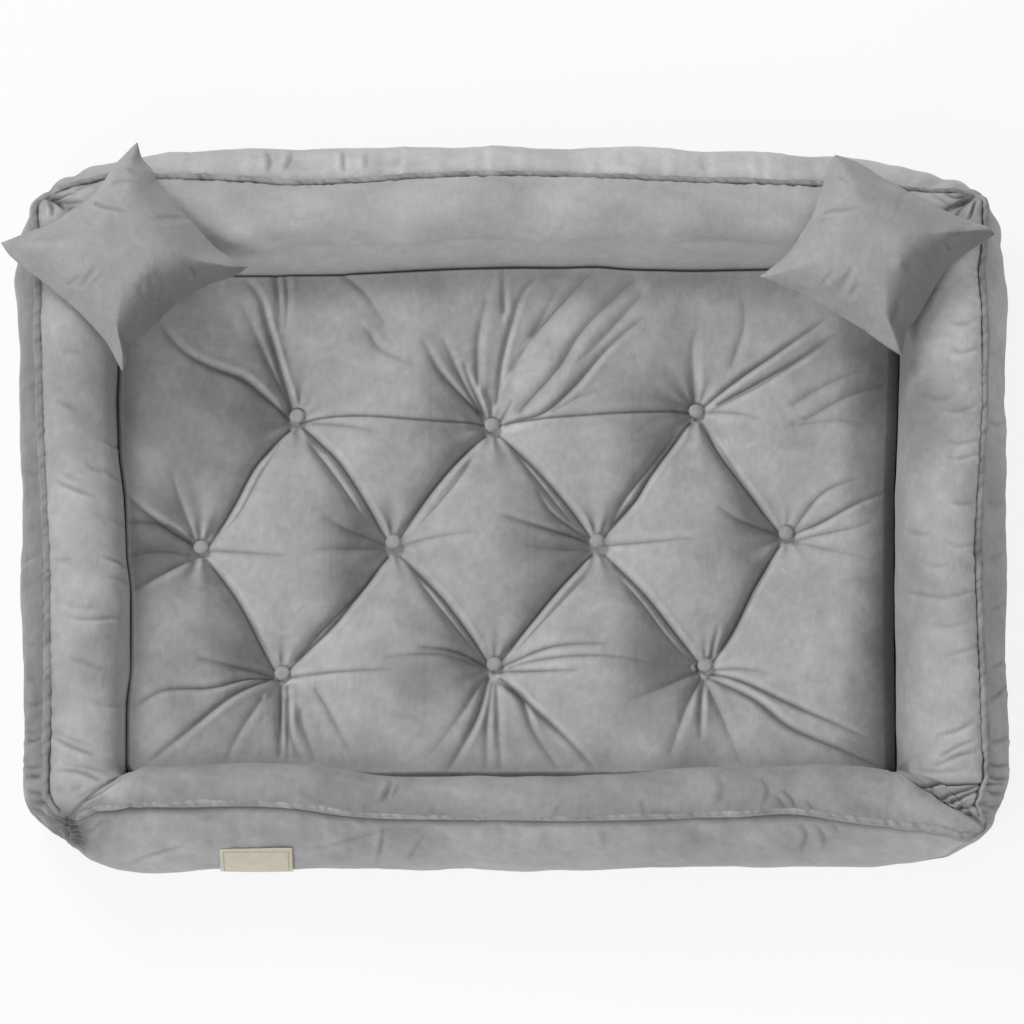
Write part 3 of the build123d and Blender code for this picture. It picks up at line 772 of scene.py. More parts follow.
SHADED_PX = (
    # centre, radius and tone: first painted shade where the cloth is drawn together, then broad
    # patches of painted light and shade
    (64, 825, 18, 0.34), (74, 836, 12, 0.7), (84, 842, 8, 0.5), (53, 199, 8, 0.55), (966, 198, 9, 0.55),
    (922, 789, 9, 0.8), (940, 800, 8, 0.85), (972, 812, 8, 0.85), (32, 640, 60, 0.86), (32, 735, 40, 0.84),
    (32, 440, 40, 1.08), (998, 730, 46, 0.9), (998, 560, 60, 0.94), (1000, 380, 74, 1.26),
    (940, 730, 60, 1.13), (936, 385, 46, 0.88), (84, 410, 56, 0.82), (912, 405, 40, 0.8),
    (100, 720, 50, 1.06), (240, 238, 24, 1.13), (790, 235, 24, 1.05), (180, 160, 90, 0.88),
    (620, 150, 60, 1.06), (740, 155, 90, 1.06), (800, 800, 50, 0.9), (88, 760, 44, 1.06),
    (84, 600, 60, 1.04), (400, 836, 26, 0.86), (352, 835, 20, 0.9), (700, 850, 50, 0.94),
    (870, 792, 50, 0.93), (330, 790, 40, 0.95), (300, 250, 40, 1.03),
)
# Painted shade in each fold's crease and where the skin sinks, painted light where it rises and on the
# folds' lips
flat_pixel, flat_move, crease_mark = pixel.reshape(-1, 2), move.reshape(-1), np.zeros(count * SECTION)
facing = (normals @ BACK) > 0.05
wall_fold_shade = 1 + np.clip(0.06 * flat_move, -0.12, 0.1)
beyond = np.where(at_front_right, smooth(-2.6, -0.6, bent_off), (names == "front")[:, None]).reshape(-1)
for number, (depth, half, *line) in enumerate(WALL_FOLDS + LAYERED):
    near, d, taper, dip, lip = along_fold(flat_pixel, line, half, 2.1, 1.2)
    taper = taper * facing.reshape(-1)[near]
    if number >= len(WALL_FOLDS):
        taper = taper * (1 - beyond[near])
    flat_move[near] += depth * taper * (0.45 * lip - dip)
    wall_fold_shade[near] *= 1 + min(0.34, 0.1 * depth) * taper * (0.5 * lip - dip)
    dark = min(0.9, 0.22 * depth) * taper * bell(d, 0.6 * half)
    crease_mark[near] = np.maximum(crease_mark[near], dark)
plain = body
body = plain + normals * move[..., None]
body[..., 2] = np.maximum(body[..., 2], FLOOR_Z + 0.1)
skin_normals = grid_normals(body)

# Painted shade in the groove beside each cord, along the mitres and in the folds' creases
mark = bell(from_seam + 0.9, 1.5) * (1 - front_run) + bell(from_seam - 2.4, 1.9) * front_run
side_run = eased(np.isin(names, ("left", "right")).astype(float), 10, "wrap")[:, None]
mark += 0.7 * bell(from_seam - 7.4, 1.3) * side_run
mitre_mark = np.exp(-np.abs(bent_off + 0.4)) * by_corner("mark")[:, None]
mark = np.maximum(mark, mitre_mark * on_top * smooth(120, 90, near_seam))
mark = np.maximum(mark, crease_mark.reshape(count, SECTION))

# Painted light and shade: each wall's outer band and top lighter or darker by side and across the section,
# and in patches; then random mottle
inward_px = np.linalg.norm(pixel - pixel[:, SEAM_AT : SEAM_AT + 1], axis=-1)
inward_px = np.where(section_at > SEAM_AT, -inward_px, inward_px)
across_painted_light = np.zeros((count, SECTION))
for wall, spec in WALLS.items():
    share_of = fill_corners(np.where(np.isin(names, list(WALLS)), names == wall, np.nan))
    across_painted_light += share_of[:, None] * np.interp(inward_px, *np.transpose(spec["across"]))
nap = np.where(on_outer, by_wall("band_painted_light"), by_wall("top_painted_light")) * across_painted_light
for x, y, radius, tone in SHADED_PX:
    nap *= np.where(facing, painted_light_patch(pixel, x, y, radius, radius, tone), 1)
nap *= wall_fold_shade.reshape(count, SECTION)
nap *= 1 + by_wall("mottled") * (noise(plain, 90, 71) + noise(plain, 36, 72) + 0.8 * noise(plain, 13, 75))

for wall in ("front", "right", "back", "left", "front_right", "back_right", "back_left", "front_left"):
    index = np.flatnonzero(names == wall)
    index = np.append(index, (index[-1] + 1) % count)
    name = ("wall_" if "_" not in wall else "corner_") + wall
    faces = tube_faces(len(index), SECTION)
    obj = add_mesh(name, body[index], faces, mark[index], nap[index], 2, skin_normals[index])
    obj.data.materials.append(VELVET_WALL)
    if "_" in wall:
        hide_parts("gusset_" + wall)
    else:
        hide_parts("bolster_" + wall, "filling_" + wall)
    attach(obj, "bed")


# Piping cords lie in the seam, wrapped in gathered velvet: length of a twist, and height of its ridge
CORD_TWIST, CORD_RIDGE = 15.0, 0.55
# The ends are tucked in and down over a short length, at this step between stations
CORD_STEP, TUCK_LONG, TUCK_IN, TUCK_DOWN = 1.4, 7.0, 7.0, 5.0


def cord_mesh(name, path, radius, slim, tone, seed, around=14):
    """A closed-ended tube along a path in millimetres, its wrapping gathered and twisted."""
    tangent = np.gradient(path, axis=0)
    tangent /= np.linalg.norm(tangent, axis=1, keepdims=True)
    side = np.cross(tangent, [0, 0, 1.0])
    side /= np.linalg.norm(side, axis=1, keepdims=True)
    up = np.cross(side, tangent)
    s = lengths_along(path)
    angle = turn_angles(around)
    swirl = s[:, None] / CORD_TWIST * TAU + angle + 2.4 * noise(s, 50, seed)[:, None]
    swell = 0.6 + 0.4 * noise(s, 35, seed + 2)[:, None]
    ridge = CORD_RIDGE * swell * np.sin(swirl) + 0.3 * noise(s, 9, seed + 1)[:, None]
    ends = np.minimum(s, s[-1] - s)
    r = (radius * slim[:, None] + ridge) * np.sqrt(np.clip(ends / radius, 0.02, 1))[:, None]
    round_side = side[:, None] * (np.cos(angle) * r)[..., None]
    points = path[:, None] + round_side + up[:, None] * (np.sin(angle) * r)[..., None]
    # Painted shade in the valleys between the wrapping's gathers, and the wall's painted light with random
    # mottle
    gather_shade = np.clip(-np.sin(swirl) - 0.2, 0, 1) * 0.7 * swell
    cord_light_and_mottle = np.repeat(tone * (1 + 0.1 * noise(s, 60, seed + 3)), around)
    obj = add_mesh(name, points, tube_faces(len(path), around), gather_shade, cord_light_and_mottle)
    obj.data.materials.append(VELVET_CORD)
    return obj


def mitre_station(name):
    """The station nearest to a corner's mitre."""
    return np.argmin(np.where(names == name, np.abs(off_mitre), np.inf))


outward3 = np.concatenate([outward, np.zeros((count, 1))], 1)
wobble = noise(circle, 70, 31) * 0.8 + noise(circle, 25, 32) * 0.4
cord_line = body[:, SEAM_AT] + outward3 * (between((3.8, -3.2), front_share) + wobble)[:, None]
cord_line[:, 2] += 1.9 + 3.0 * front_share + noise(circle, 55, 33) * 0.7
for wall in ("right", "back", "left", "front"):
    at = RING.index(wall)
    start, end = mitre_station(RING[at - 1]) + 2, mitre_station(RING[at + 1]) - 2
    index = np.arange(start, end + 1 + (0 if start < end else count)) % count
    from_end = np.minimum(np.arange(len(index)), np.arange(len(index))[::-1]) * CORD_STEP
    tuck = bell(from_end, TUCK_LONG)[:, None]
    path = cord_line[index] - outward3[index] * (TUCK_IN * tuck)
    path = path - np.array([0, 0, 1.0]) * (TUCK_DOWN * tuck)
    path = np.stack([eased(path[:, k], 5) for k in range(3)], -1)
    slim = np.where(np.isin(names[index], FRONT_CORNERS) & (wall in ("left", "right")), 0.66, 1.0)
    slim = eased(np.where(np.isin(names[index], BACK_CORNERS), 0.72, slim), 6)
    spec = WALLS[wall]
    cord = cord_mesh("piping_of_" + wall, path, spec["cord"], slim, spec["cord_painted_light"], 40 + len(wall))
    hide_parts("piping_" + wall)
    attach(cord, "bed")


# Mattress
BUTTONS_PX = (
    (297, 417), (492, 426), (696, 412), (201, 548), (393, 543), (597, 542), (786, 534), (282, 674),
    (494, 665), (705, 666),
)
BUTTON_SEAT = 60.0
button_at = at_height(BUTTONS_PX, BUTTON_SEAT)
MAT_W, MAT_D, MAT_R, MAT_Y = 772.0, 540.0, 20.0, -25.0
NX, NY = 773, 541
MAIN = (
    # slanting creases from button to button, in pixels
    ((290, 426), (269, 448), (253, 468), (235, 502), (212, 537), (201, 548)),
    ((303, 424), (320, 440), (339, 460), (365, 499), (383, 528), (393, 543)),
    ((486, 432), (462, 454), (429, 493), (405, 525), (393, 543)),
    ((499, 432), (531, 462), (564, 499), (586, 526), (597, 542)),
    ((690, 420), (653, 471), (635, 499), (610, 525), (597, 542)),
    ((702, 420), (722, 456), (755, 499), (776, 524), (786, 534)),
    ((206, 556), (235, 594), (259, 639), (273, 664), (282, 674)),
    ((388, 552), (353, 600), (331, 627), (294, 661), (282, 674)),
    ((400, 552), (440, 594), (470, 632), (486, 655), (494, 665)),
    ((592, 550), (553, 594), (530, 622), (502, 655), (494, 665)),
    ((604, 550), (641, 588), (676, 631), (698, 657), (705, 666)),
    ((780, 542), (755, 585), (735, 625), (715, 655), (705, 666)),
)
LEVEL = (
    # shallower ones along the back row of buttons
    ((300, 418), (345, 415), (420, 420), (485, 421), (492, 426)),
    ((499, 421), (604, 415), (686, 409), (696, 412)),
)
PARALLEL = (
    # finer creases beside them
    ((480, 441), (462, 473), (441, 499), (412, 530)), ((684, 420), (655, 460), (624, 499), (606, 530)),
    ((300, 430), (325, 462), (352, 500), (372, 528)), ((508, 442), (535, 476), (560, 508), (580, 530)),
    ((212, 562), (240, 604), (258, 632), (270, 655)), ((408, 564), (436, 602), (462, 634), (482, 658)),
    ((598, 562), (560, 602), (524, 640), (504, 660)), ((612, 566), (640, 600), (668, 636), (694, 660)),
    ((384, 562), (345, 606), (312, 640), (292, 664)), ((776, 552), (752, 596), (730, 636), (712, 660)),
    ((710, 430), (735, 470), (765, 510), (780, 528)), ((284, 436), (262, 470), (240, 510), (216, 538)),
)
FOLDS = (
    # depth, half width and the line from its deep end
    (4.2, 3.0, (289, 414), (263, 395), (243, 381), (214, 371), (188, 358), (169, 340), (159, 322)),
    (4.6, 2.6, (293, 409), (282, 377), (269, 334), (259, 301), (241, 281)),
    (1.8, 4.0, (290, 408), (270, 368), (252, 330), (238, 300)),
    (2.4, 3.0, (275, 275), (278, 300), (280, 340)), (2.2, 3.0, (285, 279), (287, 305), (285, 338)),
    (1.6, 3.4, (337, 275), (365, 299), (390, 336)), (1.3, 3.2, (369, 336), (382, 354), (418, 371)),
    (1.4, 2.6, (310, 420), (345, 425), (380, 434)), (3.4, 2.6, (485, 415), (468, 379), (464, 362)),
    (2.8, 3.0, (478, 410), (441, 375), (421, 340)), (2.2, 2.8, (482, 412), (462, 381), (441, 338)),
    (2.0, 3.4, (478, 385), (478, 342), (488, 297)),
    (2.6, 2.6, (496, 401), (502, 362), (511, 328), (523, 295), (543, 277)),
    (2.0, 2.6, (504, 315), (503, 290), (503, 271)), (2.0, 2.4, (500, 418), (513, 399)),
    (2.6, 5.0, (520, 410), (558, 371), (584, 332), (643, 275)),
    (2.2, 5.0, (533, 338), (564, 305), (596, 271)),
    (3.0, 3.0, (507, 420), (543, 413), (574, 389), (609, 350), (651, 315)),
    (1.2, 2.8, (553, 413), (576, 401), (604, 391)), (1.6, 4.5, (512, 372), (540, 325), (560, 285)),
    (4.0, 2.6, (704, 403), (743, 377), (780, 354), (833, 318)),
    (3.4, 2.6, (718, 403), (753, 387), (800, 362), (837, 336)),
    (1.6, 3.0, (712, 408), (760, 388), (812, 356), (850, 330)),
    (1.8, 3.4, (696, 405), (692, 354), (698, 328)), (1.5, 3.4, (731, 367), (743, 330), (743, 301)),
    (1.4, 2.8, (706, 409), (743, 415), (767, 424)), (1.4, 4.5, (640, 300), (600, 345), (570, 372)),
    (1.4, 4.0, (794, 407), (824, 389), (871, 371)), (1.6, 4.0, (806, 422), (845, 401), (898, 383)),
    (1.0, 4.0, (795, 428), (840, 424), (880, 430)), (2.2, 2.8, (792, 528), (822, 495), (865, 479)),
    (2.8, 3.0, (196, 541), (173, 531), (147, 515), (124, 496)),
    (2.2, 3.4, (190, 537), (163, 525), (122, 525)), (1.4, 4.0, (196, 540), (178, 494), (170, 470)),
    (2.6, 3.4, (192, 558), (173, 568), (131, 596)), (1.6, 4.0, (188, 552), (160, 552), (128, 560)),
    (1.6, 2.8, (212, 547), (255, 553), (290, 556)), (2.6, 2.8, (587, 537), (533, 525), (498, 515)),
    (2.2, 2.8, (588, 534), (553, 513), (535, 486)), (1.2, 3.4, (590, 545), (560, 548), (520, 546)),
    (1.6, 2.4, (604, 540), (650, 541), (700, 539)), (1.2, 2.6, (402, 540), (440, 536), (480, 532)),
    (1.6, 3.4, (386, 540), (350, 530), (320, 515)), (1.4, 3.4, (384, 544), (345, 548), (310, 550)),
    (2.8, 2.8, (795, 530), (822, 522), (860, 504), (895, 490)),
    (1.8, 3.0, (794, 538), (850, 530), (880, 520)), (1.4, 4.0, (795, 540), (835, 552), (870, 560)),
    (1.8, 3.4, (778, 530), (740, 520), (715, 505)),
    (3.0, 2.6, (274, 676), (249, 679), (213, 690), (165, 694), (130, 714)),
    (3.0, 3.0, (267, 679), (228, 701), (184, 738), (143, 771)),
    (2.0, 2.8, (273, 673), (239, 668), (195, 660)), (4.2, 2.6, (281, 682), (281, 720), (280, 766)),
    (2.4, 2.4, (287, 684), (288, 725), (288, 768)), (1.8, 2.2, (291, 674), (340, 673), (400, 672)),
    (2.0, 3.0, (286, 700), (288, 731), (302, 765)), (1.8, 3.2, (300, 710), (302, 727), (317, 769)),
    (1.8, 3.6, (315, 690), (327, 710), (351, 759)), (1.4, 3.4, (262, 700), (240, 735), (225, 768)),
    (2.6, 2.6, (486, 662), (456, 651), (415, 648)), (1.4, 2.6, (480, 664), (440, 655), (380, 660)),
    (2.4, 2.6, (502, 662), (553, 647), (615, 645)),
    (1.6, 2.2, (510, 665), (539, 660), (604, 658), (666, 666)),
    (2.2, 2.4, (502, 668), (533, 671), (584, 673)), (3.4, 2.8, (489, 674), (476, 722), (445, 780)),
    (2.0, 2.8, (492, 680), (487, 730), (486, 780)), (2.0, 2.8, (496, 684), (498, 730), (501, 780)),
    (3.6, 2.6, (500, 676), (525, 702), (562, 738), (600, 779)),
    (2.4, 2.8, (498, 680), (521, 698), (533, 734), (562, 781)),
    (1.5, 4.0, (484, 676), (462, 715), (425, 765)), (2.2, 2.6, (711, 653), (719, 620)),
    (3.4, 3.0, (708, 674), (755, 702), (800, 736), (896, 776)),
    (3.2, 2.6, (712, 670), (740, 681), (794, 709), (849, 734), (878, 745)),
    (1.6, 2.8, (714, 666), (740, 668), (775, 676)), (3.4, 2.6, (704, 676), (701, 700), (700, 746)),
    (1.8, 3.6, (700, 676), (684, 715), (668, 765)), (1.8, 3.6, (706, 680), (722, 720), (742, 772)),
    (1.4, 4.0, (696, 668), (660, 690), (625, 705)),
)
MATTRESS_PAINTED_LIGHT = (
    # broad patches of painted light and shade: centre, radii and tone
    (886, 590, 15, 270, 0.36), (128, 410, 12, 50, 0.85), (148, 500, 20, 34, 1.2), (215, 300, 40, 20, 1.14),
    (200, 400, 50, 26, 0.92), (258, 416, 34, 30, 0.86), (452, 408, 34, 30, 0.88), (655, 432, 34, 28, 0.85),
    (172, 545, 26, 24, 0.85), (352, 540, 36, 36, 0.9), (556, 536, 36, 36, 0.9), (752, 522, 32, 24, 0.92),
    (240, 660, 34, 22, 0.84), (452, 672, 28, 30, 0.86), (664, 664, 30, 30, 0.9), (430, 300, 60, 24, 1.06),
    (610, 470, 40, 60, 1.06), (420, 480, 36, 50, 1.05), (830, 640, 50, 60, 1.05), (420, 700, 40, 30, 1.06),
    (640, 730, 40, 24, 1.04), (250, 585, 34, 40, 1.05), (850, 400, 40, 20, 0.92), (300, 300, 18, 30, 0.9),
)
# Where the twines' tops end under the cloth, in the same pattern as the solids
TWINE_PLACES = [(column, side) for side in (1, -1) for column in (-1, 0, 1)]
TWINE_PLACES += [(column, 0) for column in (-1.5, -0.5, 0.5, 1.5)]
twine_at = np.array([(200.0 * column - 19.0, 132.5 * row - 34.0) for column, row in TWINE_PLACES])


def plan_line(line):
    """A listed line on the mattress, in plan."""
    return rounded(at_height(line, 72.0)[:, :2])


def to_nearest(points, places):
    """The distance from each plan point to the nearest of these places."""
    return np.min(np.hypot(points[:, :1] - places[:, 0], points[:, 1:] - places[:, 1]), axis=1)


def mattress_height(x, y, edge):
    """Top of the mattress in millimetres, the painted shade in the folds' creases, and the painted light and
    shade beside the folds.
    """
    points = np.stack([x.ravel(), y.ravel()], -1)
    top = 86.5 + 2.0 * noise(points, 210, 51) + 1.1 * noise(points, 80, 52)
    top += 2.5 * smooth(180, 240, points[:, 1])
    depth = np.zeros(len(points))
    for bx, by in button_at[:, :2]:
        r = np.hypot(points[:, 0] - bx, points[:, 1] - by)
        angle = np.arctan2(points[:, 1] - by, points[:, 0] - bx)
        depth += 23.0 * np.exp(-((r / 52.0) ** 1.15)) + 4.0 * bell(r, 13.0)
        spokes = np.sin(angle * 11 + bx) + 0.7 * np.sin(angle * 7 - by)
        depth += 0.9 * spokes * np.exp(-r / 30.0) * smooth(7, 16, r)
    # Painted shade in the creases, and painted shade and light beside the folds
    mark = np.zeros(len(points))
    fold_painted_shade = np.ones(len(points))
    for lines, big, slit, lip in ((MAIN, 9.0, 3.6, 1.0), (LEVEL, 3.5, 2.0, 0.4)):
        for line in lines:
            near, d, sign, place = along_line(points, plan_line(line), 70)
            ends = smooth(0.0, 0.22, np.minimum(place, 1 - place))
            depth[near] += big * np.exp(-d / 20.0) * (0.35 + 0.65 * ends)
            depth[near] += slit * np.exp(-d / 2.0) * (0.6 + 0.4 * ends)
            depth[near] -= lip * bell(d * sign - 6.0, 3.2) * ends
            mark[near] = np.maximum(mark[near], bell(d, 1.25))
    for line in PARALLEL:
        near, d, sign, place = along_line(points, plan_line(line), 20)
        ends = smooth(0.0, 0.3, np.minimum(place, 1 - place))
        depth[near] += ends * (1.7 * np.exp(-d / 2.4) + 0.9 * bell(d, 6.0))
        mark[near] = np.maximum(mark[near], 0.6 * ends * bell(d, 1.0))
    for deep, half, *line in FOLDS:
        line = plan_line(line)
        near, d, sign, place = along_line(points, line, half * 8)
        taper = 1 - 0.75 * smooth(0.3, 1.0, place) - 0.25 * smooth(0.85, 1.0, place)
        taper = taper * (0.75 + 0.25 * smooth(0, 0.2, place))
        gentle = (sign > 0) == (line[-1, 1] > line[0, 1])
        steep = np.exp(-d / (0.7 * half)) - 0.22 * bell(d - 2.2 * half, 1.5 * half)
        slow = 0.8 * np.exp(-d / (2.4 * half)) + 0.2 * np.exp(-d / (0.7 * half))
        depth[near] += 1.25 * deep * taper * np.where(gentle, slow, steep)
        dark = 0.9 * min(1.0, (deep / 3.0) ** 1.3) * taper
        mark[near] = np.maximum(mark[near], dark * bell(d, 1.1))
        fold_shade_strength = min(1.0, deep / 3.0) * (1 - 0.45 * smooth(0.3, 1.0, place)) * smooth(1.0, 0.86, place)
        fold_painted_shade[near] *= 1 - 0.3 * fold_shade_strength * bell(d, 1.15 * half)
        fold_painted_shade[near] *= 1 + 0.08 * fold_shade_strength * bell(d - 3.0 * half, 1.4 * half)
    z = top - np.where(depth > 26, 26 + 8 * np.tanh((depth - 26) / 8), depth)
    over_twine = 59.3 - 1.2 * np.maximum(to_nearest(points, twine_at) - 3.0, 0)
    under_button = to_nearest(points, button_at) < 9.5
    z = np.where(under_button, np.minimum(z, BUTTON_SEAT - 1.5), np.maximum(z, over_twine))
    rim_z = 58 + 20 * smooth(150, 330, -points[:, 0])
    z = between((rim_z, z), edge.ravel())
    z = np.minimum(z - 10.0 * smooth(325, 392, points[:, 0]) * edge.ravel(), 91.5)
    return z.reshape(x.shape), mark.reshape(x.shape), fold_painted_shade.reshape(x.shape)


def eased_edge(distance, size):
    """The rounding of one side's edge: 0 at the rim, 1 from this far in."""
    rise = np.clip(distance / size, 0, 1)
    return np.sqrt(np.clip(1 - (1 - rise) ** 2, 0, 1))


def eased_grid(grid, rounds):
    """A grid averaged with its neighbours along both its ways, this many times."""
    grid = grid.copy()
    for _ in range(rounds):
        grid[:, 1:-1] = (grid[:, :-2] + 2 * grid[:, 1:-1] + grid[:, 2:]) / 4
        grid[1:-1] = (grid[:-2] + 2 * grid[1:-1] + grid[2:]) / 4
    return grid


plan_y = np.linspace(-1, 1, NY) * MAT_D / 2
in_corner = np.maximum(np.abs(plan_y) - (MAT_D / 2 - MAT_R), 0)
half_w = (MAT_W / 2 - MAT_R + np.sqrt(MAT_R**2 - in_corner**2))[:, None]
gx = np.linspace(-1, 1, NX) * half_w
gy = np.repeat(plan_y[:, None], NX, 1) + MAT_Y
edge = eased_edge(gx + half_w, 3.5) * eased_edge(half_w - gx, 12)
edge = edge * eased_edge(MAT_Y + MAT_D / 2 - gy, 4) * eased_edge(gy - MAT_Y + MAT_D / 2, 8)
# The rim follows the bolsters' inner faces
left_rim = -inner_offsets("left", gy[:, :1]) - 1.5
right_rim = inner_offsets("right", gy[:, :1]) + 1.0
gx = gx + np.where(gx < 0, left_rim, right_rim) * smooth(150, 386, np.abs(gx))
back_rim = inner_offsets("back", gx) + 1.5
front_gap = 4.0 + 5.2 * bell(gx + 265, 80) + 3.8 * bell(gx - 306, 62)
gy = gy + back_rim * smooth(150, 245, gy) + front_gap * smooth(200, 295, -gy)
gz, fold_mark, fold_painted_shade = mattress_height(gx, gy, edge)
top_points = np.stack([gx, gy, gz], -1)
# Painted light and shade: darker on slopes that fall towards +x, lighter on those that rise, in patches,
# lighter on ridges and darker in hollows, with random mottle
step_x = np.gradient(gx, axis=1)
slope = eased_grid(np.gradient(gz, axis=1) / np.where(np.abs(step_x) < 0.1, 0.1, step_x), 3)
top_nap = np.clip(1 + np.where(slope < 0, 1.5, 0.3) * slope, 0.5, 1.1)
plan = top_points[..., :2]
top_nap *= 1 + 0.05 * noise(plan, 90, 73) + 0.04 * noise(plan, 32, 74)
top_nap *= (1 + np.clip(0.13 * (gz - eased_grid(gz, 14)), -0.25, 0.07) * (edge > 0.999)) * fold_painted_shade
top_nap *= 1 + 0.03 * noise(plan, 13, 76)
top_pixel = px_of(top_points)
for patch in MATTRESS_PAINTED_LIGHT:
    top_nap *= painted_light_patch(top_pixel, *patch)
# The sides go down in loops from the rim to the underside
top_points = top_points.reshape(-1, 3)
faces = grid_faces(NY, NX)
previous = grid_border(NY, NX)
rim = top_points[previous]
toward = np.array([0.0, MAT_Y]) - rim[:, :2]
toward /= np.linalg.norm(toward, axis=1, keepdims=True)
all_points = [top_points]
start = len(top_points)
for pull, level in ((0.0, 22.0), (1.5, 13.0), (5.0, 6.5), (10.0, 3.6)):
    loop = np.column_stack([rim[:, :2] + toward * pull, np.full(len(rim), level)])
    current = np.arange(start, start + len(rim))
    faces += band_faces(previous, current)
    all_points.append(loop)
    previous = current
    start += len(rim)
# Underside with a dimple at each backing button
UNDER_ROWS, UNDER_COLUMNS, UNDER_IN, UNDER_Z = 43, 61, 26, 3.6
PIT_DEEP, PIT_WIDE = 5.5, 15.0
under_x, under_y = np.meshgrid(
    np.linspace(-1, 1, UNDER_COLUMNS) * (MAT_W / 2 - UNDER_IN),
    np.linspace(-1, 1, UNDER_ROWS) * (MAT_D / 2 - UNDER_IN) + MAT_Y,
)
to_button = to_nearest(np.stack([under_x.ravel(), under_y.ravel()], -1), button_at)
pit = PIT_DEEP * bell(to_button, PIT_WIDE).reshape(under_x.shape)
under_points = np.stack([under_x, under_y, UNDER_Z + pit], -1).reshape(-1, 3)
under_border = grid_border(UNDER_ROWS, UNDER_COLUMNS)
inner_xy = under_points[under_border, :2]
nearest = [int(np.argmin(((inner_xy - p) ** 2).sum(1))) for p in loop[:, :2]]
for i, a in enumerate(nearest):
    j = (i + 1) % len(nearest)
    chain = [a]
    while chain[-1] != nearest[j]:
        chain.append((chain[-1] + 1) % len(under_border))
    faces.append([int(previous[j]), int(previous[i])] + [int(k) + start for k in under_border[chain]])
faces += [face[::-1] for face in grid_faces(UNDER_ROWS, UNDER_COLUMNS, start=start)]
points = np.vstack(all_points + [under_points])
hidden = len(points) - len(top_points)
marks = np.concatenate([fold_mark.ravel(), np.zeros(hidden)])
naps = np.concatenate([top_nap.ravel(), np.ones(hidden)])
mattress = add_mesh("tufted_mattress", points, faces, marks, naps)
mattress.data.materials.append(VELVET_TOP)
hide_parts("mattress_cover", "mattress_filling")
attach(mattress, "mattress")

# Covered buttons: a gathered skirt under a dome, turned from its outline of radius and height
BUTTON_OUTLINE = (
    (0.3, -3.0), (4.5, -3.0), (6.4, -2.6), (7.2, -1.4), (7.5, 0.0), (7.3, 1.1), (6.6, 2.1), (5.2, 3.0),
    (3.2, 3.6), (1.4, 3.85), (0.3, 3.9),
)
BUTTON_AROUND = 32
# The skirt's gathers, the most that a button leans, and its height over the seat
BUTTON_RADIUS, SKIRT, GATHERS, GATHER_DEEP = 7.5, slice(2, 6), 15, 0.12
LEAN, BUTTON_UP = 0.12, 2.6
radii, heights = np.array(BUTTON_OUTLINE).T[..., None]
angle = turn_angles(BUTTON_AROUND)
dome = np.stack(np.broadcast_arrays(radii * np.cos(angle), radii * np.sin(angle), heights), -1)
button_points, button_faces = [], []
rng = np.random.default_rng(5)
for number, (bx, by) in enumerate(button_at[:, :2]):
    rings = dome.copy()
    gathered = GATHER_DEEP * np.sin(angle * GATHERS + rng.uniform(0, 6))
    rings[SKIRT] += gathered[:, None] * rings[SKIRT] / BUTTON_RADIUS
    lean = rng.uniform(-LEAN, LEAN, 2)
    rings[..., 2] += rings[..., 0] * lean[0] + rings[..., 1] * lean[1]
    button_points.append(rings + np.array([bx, by, BUTTON_SEAT + BUTTON_UP]))
    button_faces += tube_faces(len(dome), BUTTON_AROUND, number * dome.size // 3, -1)
buttons = add_mesh("covered_buttons", button_points, button_faces)
buttons.data.materials.append(VELVET_BUTTON)
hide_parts("tufting_buttons")
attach(buttons, "mattress")

# Pillows: two squares of cloth sewn together and filled, by cloth simulation
PILLOW_SIDE, PILLOW_THICK, PILLOW_CELLS = 178.0, 63.0, 46
